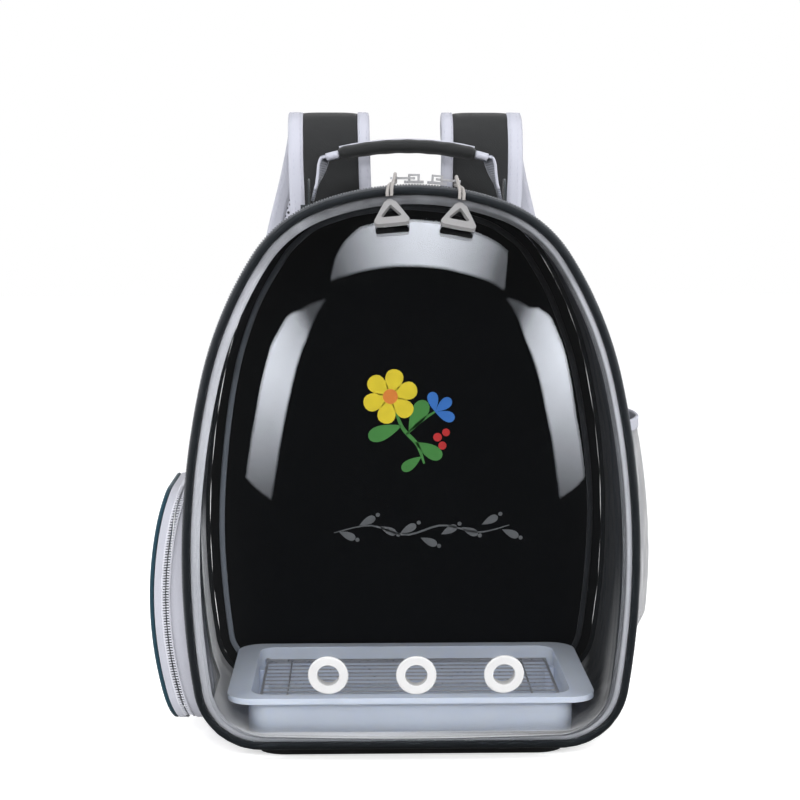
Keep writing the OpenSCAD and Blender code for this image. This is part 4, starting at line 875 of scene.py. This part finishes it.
LOCK_L, LOCK_FACE = 34.0, -3.7
def build_webbing(tag, side):
    """From the strap's lower end, behind the ladder lock, to the corner tab."""
    line = strap_line(1, 36)
    end, step = line[36], line[36] - line[35]
    tilt, yaw = atan2(step.y, -step.z), atan(step.x / step.length)
    def off(y, thirds):
        z = -LOCK_L * thirds / 3
        return Vector((end.x - z * sin(yaw), end.y + y * cos(tilt) - z * sin(tilt),
                       end.z + y * sin(tilt) + z * cos(tilt)))
    tab_x, tab_y = end.x + 3, Y0 + BACK_S + 6.25
    pts = [off(LOCK_FACE, 1), off(LOCK_FACE, 2), off(LOCK_FACE - 0.3, 3), off(LOCK_FACE - 0.8, 4),
           Vector((tab_x, tab_y + 2, 61.5)), Vector((tab_x, tab_y, 45.6))]
    path = [Vector((side * p.x, p.y, p.z)) for p in spline(pts, 48)]
    add_mesh("lower_webbing_" + tag, sweep(path, lens(25, 1.7, 0.7), X_AXIS), REAR, m_web,
             hides=["webbing_" + tag])

for build in (build_strap, build_pad, build_webbing):
    for tag, side in SIDES:
        build(tag, side)

# ---- cords of the pulls
SLIDER_AT = {"left": 0.4, "right": 5.2}      # degrees from the top
TAB_END, TAB_OUT = 13.0, 6.7                 # along the rim from its slider, and out from the rim
PULL_AT, PULL_OUT, PULL_S = 18.5, -7.4, -4.6
CORD_R = 1.2

def build_cord(tag, side):
    def along_top(at, s, out):
        a = radians(SLIDER_AT[tag]) + side * at / TOP_R
        return P((TOP_R + out) * sin(a), s, CEN[0][1] + (TOP_R + out) * cos(a))
    pts = [(PULL_AT - 1.5, PULL_S - 0.3, PULL_OUT + 1.6), (PULL_AT - 2.3, -4.1, 0),
           (PULL_AT - 3.5, -1.2, 3.7), (PULL_AT - 4.7, 3.5, 7.2), (TAB_END, 8, TAB_OUT + 2.9),
           (TAB_END, 11.1, TAB_OUT + 2.8), (TAB_END, 12.3, TAB_OUT), (TAB_END, 11.1, TAB_OUT - 2.7),
           (TAB_END + 0.9, 7.5, TAB_OUT - 3.1), (TAB_END + 2.9, 3, 3.1), (PULL_AT - 0.6, -1.5, 2),
           (PULL_AT + 0.9, -4.5, -1.4),
           (PULL_AT + 1.5, PULL_S - 0.3, PULL_OUT + 1.6)]
    path = spline([along_top(*p) for p in pts], 150)
    rows = []
    for i, (w, o, t) in enumerate(frames(path, Vector((1, 0.2, 0.1)))):
        braid = [0.07 * (sin(pi * q / 2 + i * 0.55) + sin(pi * q / 2 - i * 0.55)) for q in range(12)]
        rows.append([path[i] + (w * x + o * y) * (1 + b) for (x, y), b in zip(circle(CORD_R, 12), braid)])
    add_mesh("pull_loop_" + tag, grid(rows, wrap=True, flip=True), tag + "_tab", m_cord,
             hides=["cord_" + tag])
for tag, side in SIDES:
    build_cord(tag, side)

# ---- printed design on the panel
PANEL_S = 163.0

def flat_print(name, rgb, shapes, layer):
    """Thin printed shapes, each a list of (x, z) round an outline; a higher layer lies further forward."""
    m = Mat(name, "panel_black", rgb, 0.55)
    v = m.coords()
    m.relief(m.noise(v, 1.2, 2.0), 0.03)
    m.tone(m.noise(v, 0.12), 0.85, 1.12)
    verts, faces = [], []
    for shape in shapes:
        faces.append([len(verts) + i for i in range(len(shape))])
        verts += [P(x, PANEL_S - 0.12 - 0.03 * layer, z) for x, z in shape]
    ob = add_mesh(name, (verts, faces, None), REAR, m.done(), smooth=False)
    thick = ob.modifiers.new("thick", "SOLIDIFY")
    thick.thickness, thick.offset = 0.00008, 0

def petal(cx, cz, length, width, angle):
    """A leaf shape from its stalk end, widest towards its tip."""
    a = radians(angle)
    out = []
    for k in range(20):
        t = 2 * pi * k / 20
        u = 0.5 - 0.5 * cos(t)
        w = width / 2 * sin(t) * u ** 0.6 * 1.35
        out.append((cx + u * length * cos(a) - w * sin(a), cz + u * length * sin(a) + w * cos(a)))
    return out

def disc(cx, cz, r):
    return [(cx + x, cz + z) for x, z in circle(r, 24)]

def ribbon(pts, w):
    """A stem through the points, thinner at both ends."""
    line = spline([Vector((x, z, 0)) for x, z in pts], 24)
    left, right = [], []
    for k, p in enumerate(line):
        t = (line[min(k + 1, 24)] - line[max(k - 1, 0)]).normalized()
        half = w / 2 * (0.35 + 0.65 * sin(pi * (k + 1) / 26))
        left.append((p.x - t.y * half, p.y + t.x * half))
        right.append((p.x + t.y * half, p.y - t.x * half))
    return left + right[::-1]

def build_art():
    cx, cz = -1.0, 240.0
    flower = [petal(cx - 12, cz + 14, 23, 15, a) for a in range(18, 378, 60)]
    flat_print("print_yellow", (0.80, 0.62, 0.02), flower, 2)
    flat_print("print_orange", (0.80, 0.24, 0.03), [disc(cx - 12, cz + 14, 6.2)], 3)
    stems = [ribbon([(cx - 10, cz + 8), (cx - 2, cz - 12), (cx + 10, cz - 26), (cx + 16, cz - 42)], 3.2),
             ribbon([(cx + 1, cz - 18), (cx + 14, cz - 6), (cx + 26, cz + 2)], 2.4)]
    leaves = [petal(cx - 2, cz - 10, 30, 13, 200), petal(cx + 8, cz - 24, 26, 12, 330),
              petal(cx + 3, cz - 16, 30, 14, 62), petal(cx + 14, cz - 36, 20, 9, 215)]
    flat_print("print_green", (0.06, 0.26, 0.05), stems + leaves, 1)
    blue = [petal(cx + 25, cz + 1, 17, 9, a) for a in (-20, 40, 100)]
    flat_print("print_blue", (0.03, 0.17, 0.55), blue, 2)
    berries = [disc(cx + 27, cz - 20, 3.6), disc(cx + 34, cz - 16, 3.2), disc(cx + 31, cz - 27, 3.4)]
    flat_print("print_red", (0.55, 0.02, 0.02), berries, 2)
    spray = []
    for i in range(9):
        x, z = -56 + i * 17.0, 141 + 5.5 * sin(i * 1.15)
        spray.append(petal(x, z, 15, 6.5, 28 if i % 2 else -24))
        spray.append(disc(x + 15.5, z + (9 if i % 2 else -7), 1.7))
    spray.append(ribbon([(-60, 140), (-30, 146), (0, 138), (30, 146), (60, 140), (86, 146)], 1.6))
    flat_print("print_grey", (0.13, 0.135, 0.14), spray, 1)
build_art()

# ---- floor, light and world, in metres
def stage_piece(name, corners, material):
    me = bpy.data.meshes.new(name)
    me.from_pydata(corners, [], [list(range(len(corners)))])
    me.materials.append(material)
    ob = bpy.data.objects.new(name, me)
    scene.collection.objects.link(ob)
    return ob

FLOOR_HALF, FLOOR_Z, FLOOR_GLOW = 6, -0.0006, 0.5
def build_floor():
    """Pale paper, which glows to the camera, so that it is white where no shadow falls."""
    m = new_material("floor_paper")
    n = Nodes(m.node_tree)
    b = n.first("BSDF_PRINCIPLED")
    for k, v in (("Base Color", (0.93, 0.93, 0.935, 1)), ("Roughness", 0.9), ("Specular IOR Level", 0.1)):
        n.put(b.inputs[k], v)
    glow = n.node("Emission", Strength=n.f("MULTIPLY", n.node("LightPath", "Is Camera Ray"), FLOOR_GLOW))
    n.put(n.first("OUTPUT_MATERIAL").inputs[0], n.node("AddShader", i0=b.outputs[0], i1=glow))
    h = FLOOR_HALF
    ob = stage_piece("floor", [(-h, -h, FLOOR_Z), (h, -h, FLOOR_Z), (h, h, FLOOR_Z), (-h, h, FLOOR_Z)], m)
    ob.visible_glossy = False
build_floor()

def area_light(name, at, look, size, power):
    """A soft lamp that only lights: gloss sees the cards below instead."""
    d = bpy.data.lights.new(name, "AREA")
    d.shape, d.size, d.size_y, d.energy = "RECTANGLE", size[0], size[1], power
    ob = bpy.data.objects.new(name, d)
    ob.location = at
    ob.rotation_mode = "QUATERNION"
    ob.rotation_quaternion = (Vector(look) - Vector(at)).to_track_quat("-Z", "Y")
    for k in ("camera", "transmission", "glossy"):
        setattr(ob, "visible_" + k, False)
    scene.collection.objects.link(ob)
area_light("softbox_top", (0, -0.55, 1.75), (0, -0.05, 0.25), (0.62, 0.45), 10)
for tag, side in SIDES:
    area_light("softbox_" + tag, (side * 1.35, -0.75, 0.75), (0, -0.1, 0.22), (0.5, 0.9), 11.5)
area_light("fill_front", (0, -1.6, 0.85), (0, 0, 0.1), (0.9, 0.35), 18)

def card(name, corners, mid, edge, centre, reach, axis):
    """A diffusing panel, seen in gloss only, that fades from its centre over its reach along one axis."""
    m = new_material(name)
    n = Nodes(m.node_tree)
    n.t.nodes.remove(n.first("BSDF_PRINCIPLED"))
    off = n.f("ABSOLUTE", n.f("SUBTRACT", n.xyz(n.node("TexCoord", "Object"))[axis], centre))
    fade = n.node("MapRange", p_interpolation_type="SMOOTHSTEP", Value=off, From_Min=0.0, From_Max=reach,
                  To_Min=mid, To_Max=edge)
    n.put(n.first("OUTPUT_MATERIAL").inputs[0], n.node("Emission", Color=(0.90, 0.93, 1.0, 1), Strength=fade))
    ob = stage_piece(name, corners, m)
    for k in ("camera", "diffuse", "transmission", "volume_scatter", "shadow"):
        setattr(ob, "visible_" + k, False)

TOP_CARD = [(-0.554, -0.36), (-0.33, -0.104), (-0.235, -0.04), (0.652, -0.05), (0.773, -0.384)]
LEFT_CARD = [(-0.561, 1.488), (-0.257, 0.911), (-0.113, 0.738), (-0.072, 0.61), (-0.08, 0.4), (-0.055, 0.205),
             (-0.38, 0.163), (-0.404, 0.334), (-0.423, 0.504), (-0.4, 0.71), (-0.473, 0.996)]
RIGHT_CARD = [(-0.439, 1.294), (-0.183, 0.854), (0.008, 0.68), (0.03, 0.546), (0.006, 0.387), (0.016, 0.195),
              (-0.31, 0.163), (-0.317, 0.314), (-0.336, 0.43), (-0.32, 0.65), (-0.366, 0.911)]
card("card_top", [(x, y, 1.3) for x, y in TOP_CARD], 10.0, 1.5, 0.08, 0.56, 0)
card("card_left", [(-0.85, y, z) for y, z in LEFT_CARD], 9.4, 1.0, 0.58, 0.48, 2)
card("card_right", [(0.85, y, z) for y, z in RIGHT_CARD], 8.6, 1.0, 0.56, 0.46, 2)

WORLD_LIGHT = 0.62
def build_world():
    """White to the camera; gloss sees a room that is white behind the carrier and dark in front of it."""
    w = bpy.data.worlds.new("studio")
    scene.world = w
    w.use_nodes = True
    n = Nodes(w.node_tree)
    bg = n.first("BACKGROUND")
    room = n.ramp(n.xyz(n.node("TexCoord", "Generated"))[1], 0.6, 0.97, 0.04, 1.0)
    camera, glossy, through = [n.node("LightPath", "Is %s Ray" % kind)
                               for kind in ("Camera", "Glossy", "Transmission")]
    light = n.switch(glossy, WORLD_LIGHT, room)
    n.put(bg.inputs["Color"], (1, 1, 1, 1))
    n.put(bg.inputs["Strength"], n.switch(n.f("MAXIMUM", camera, through), light, 1.0))
build_world()
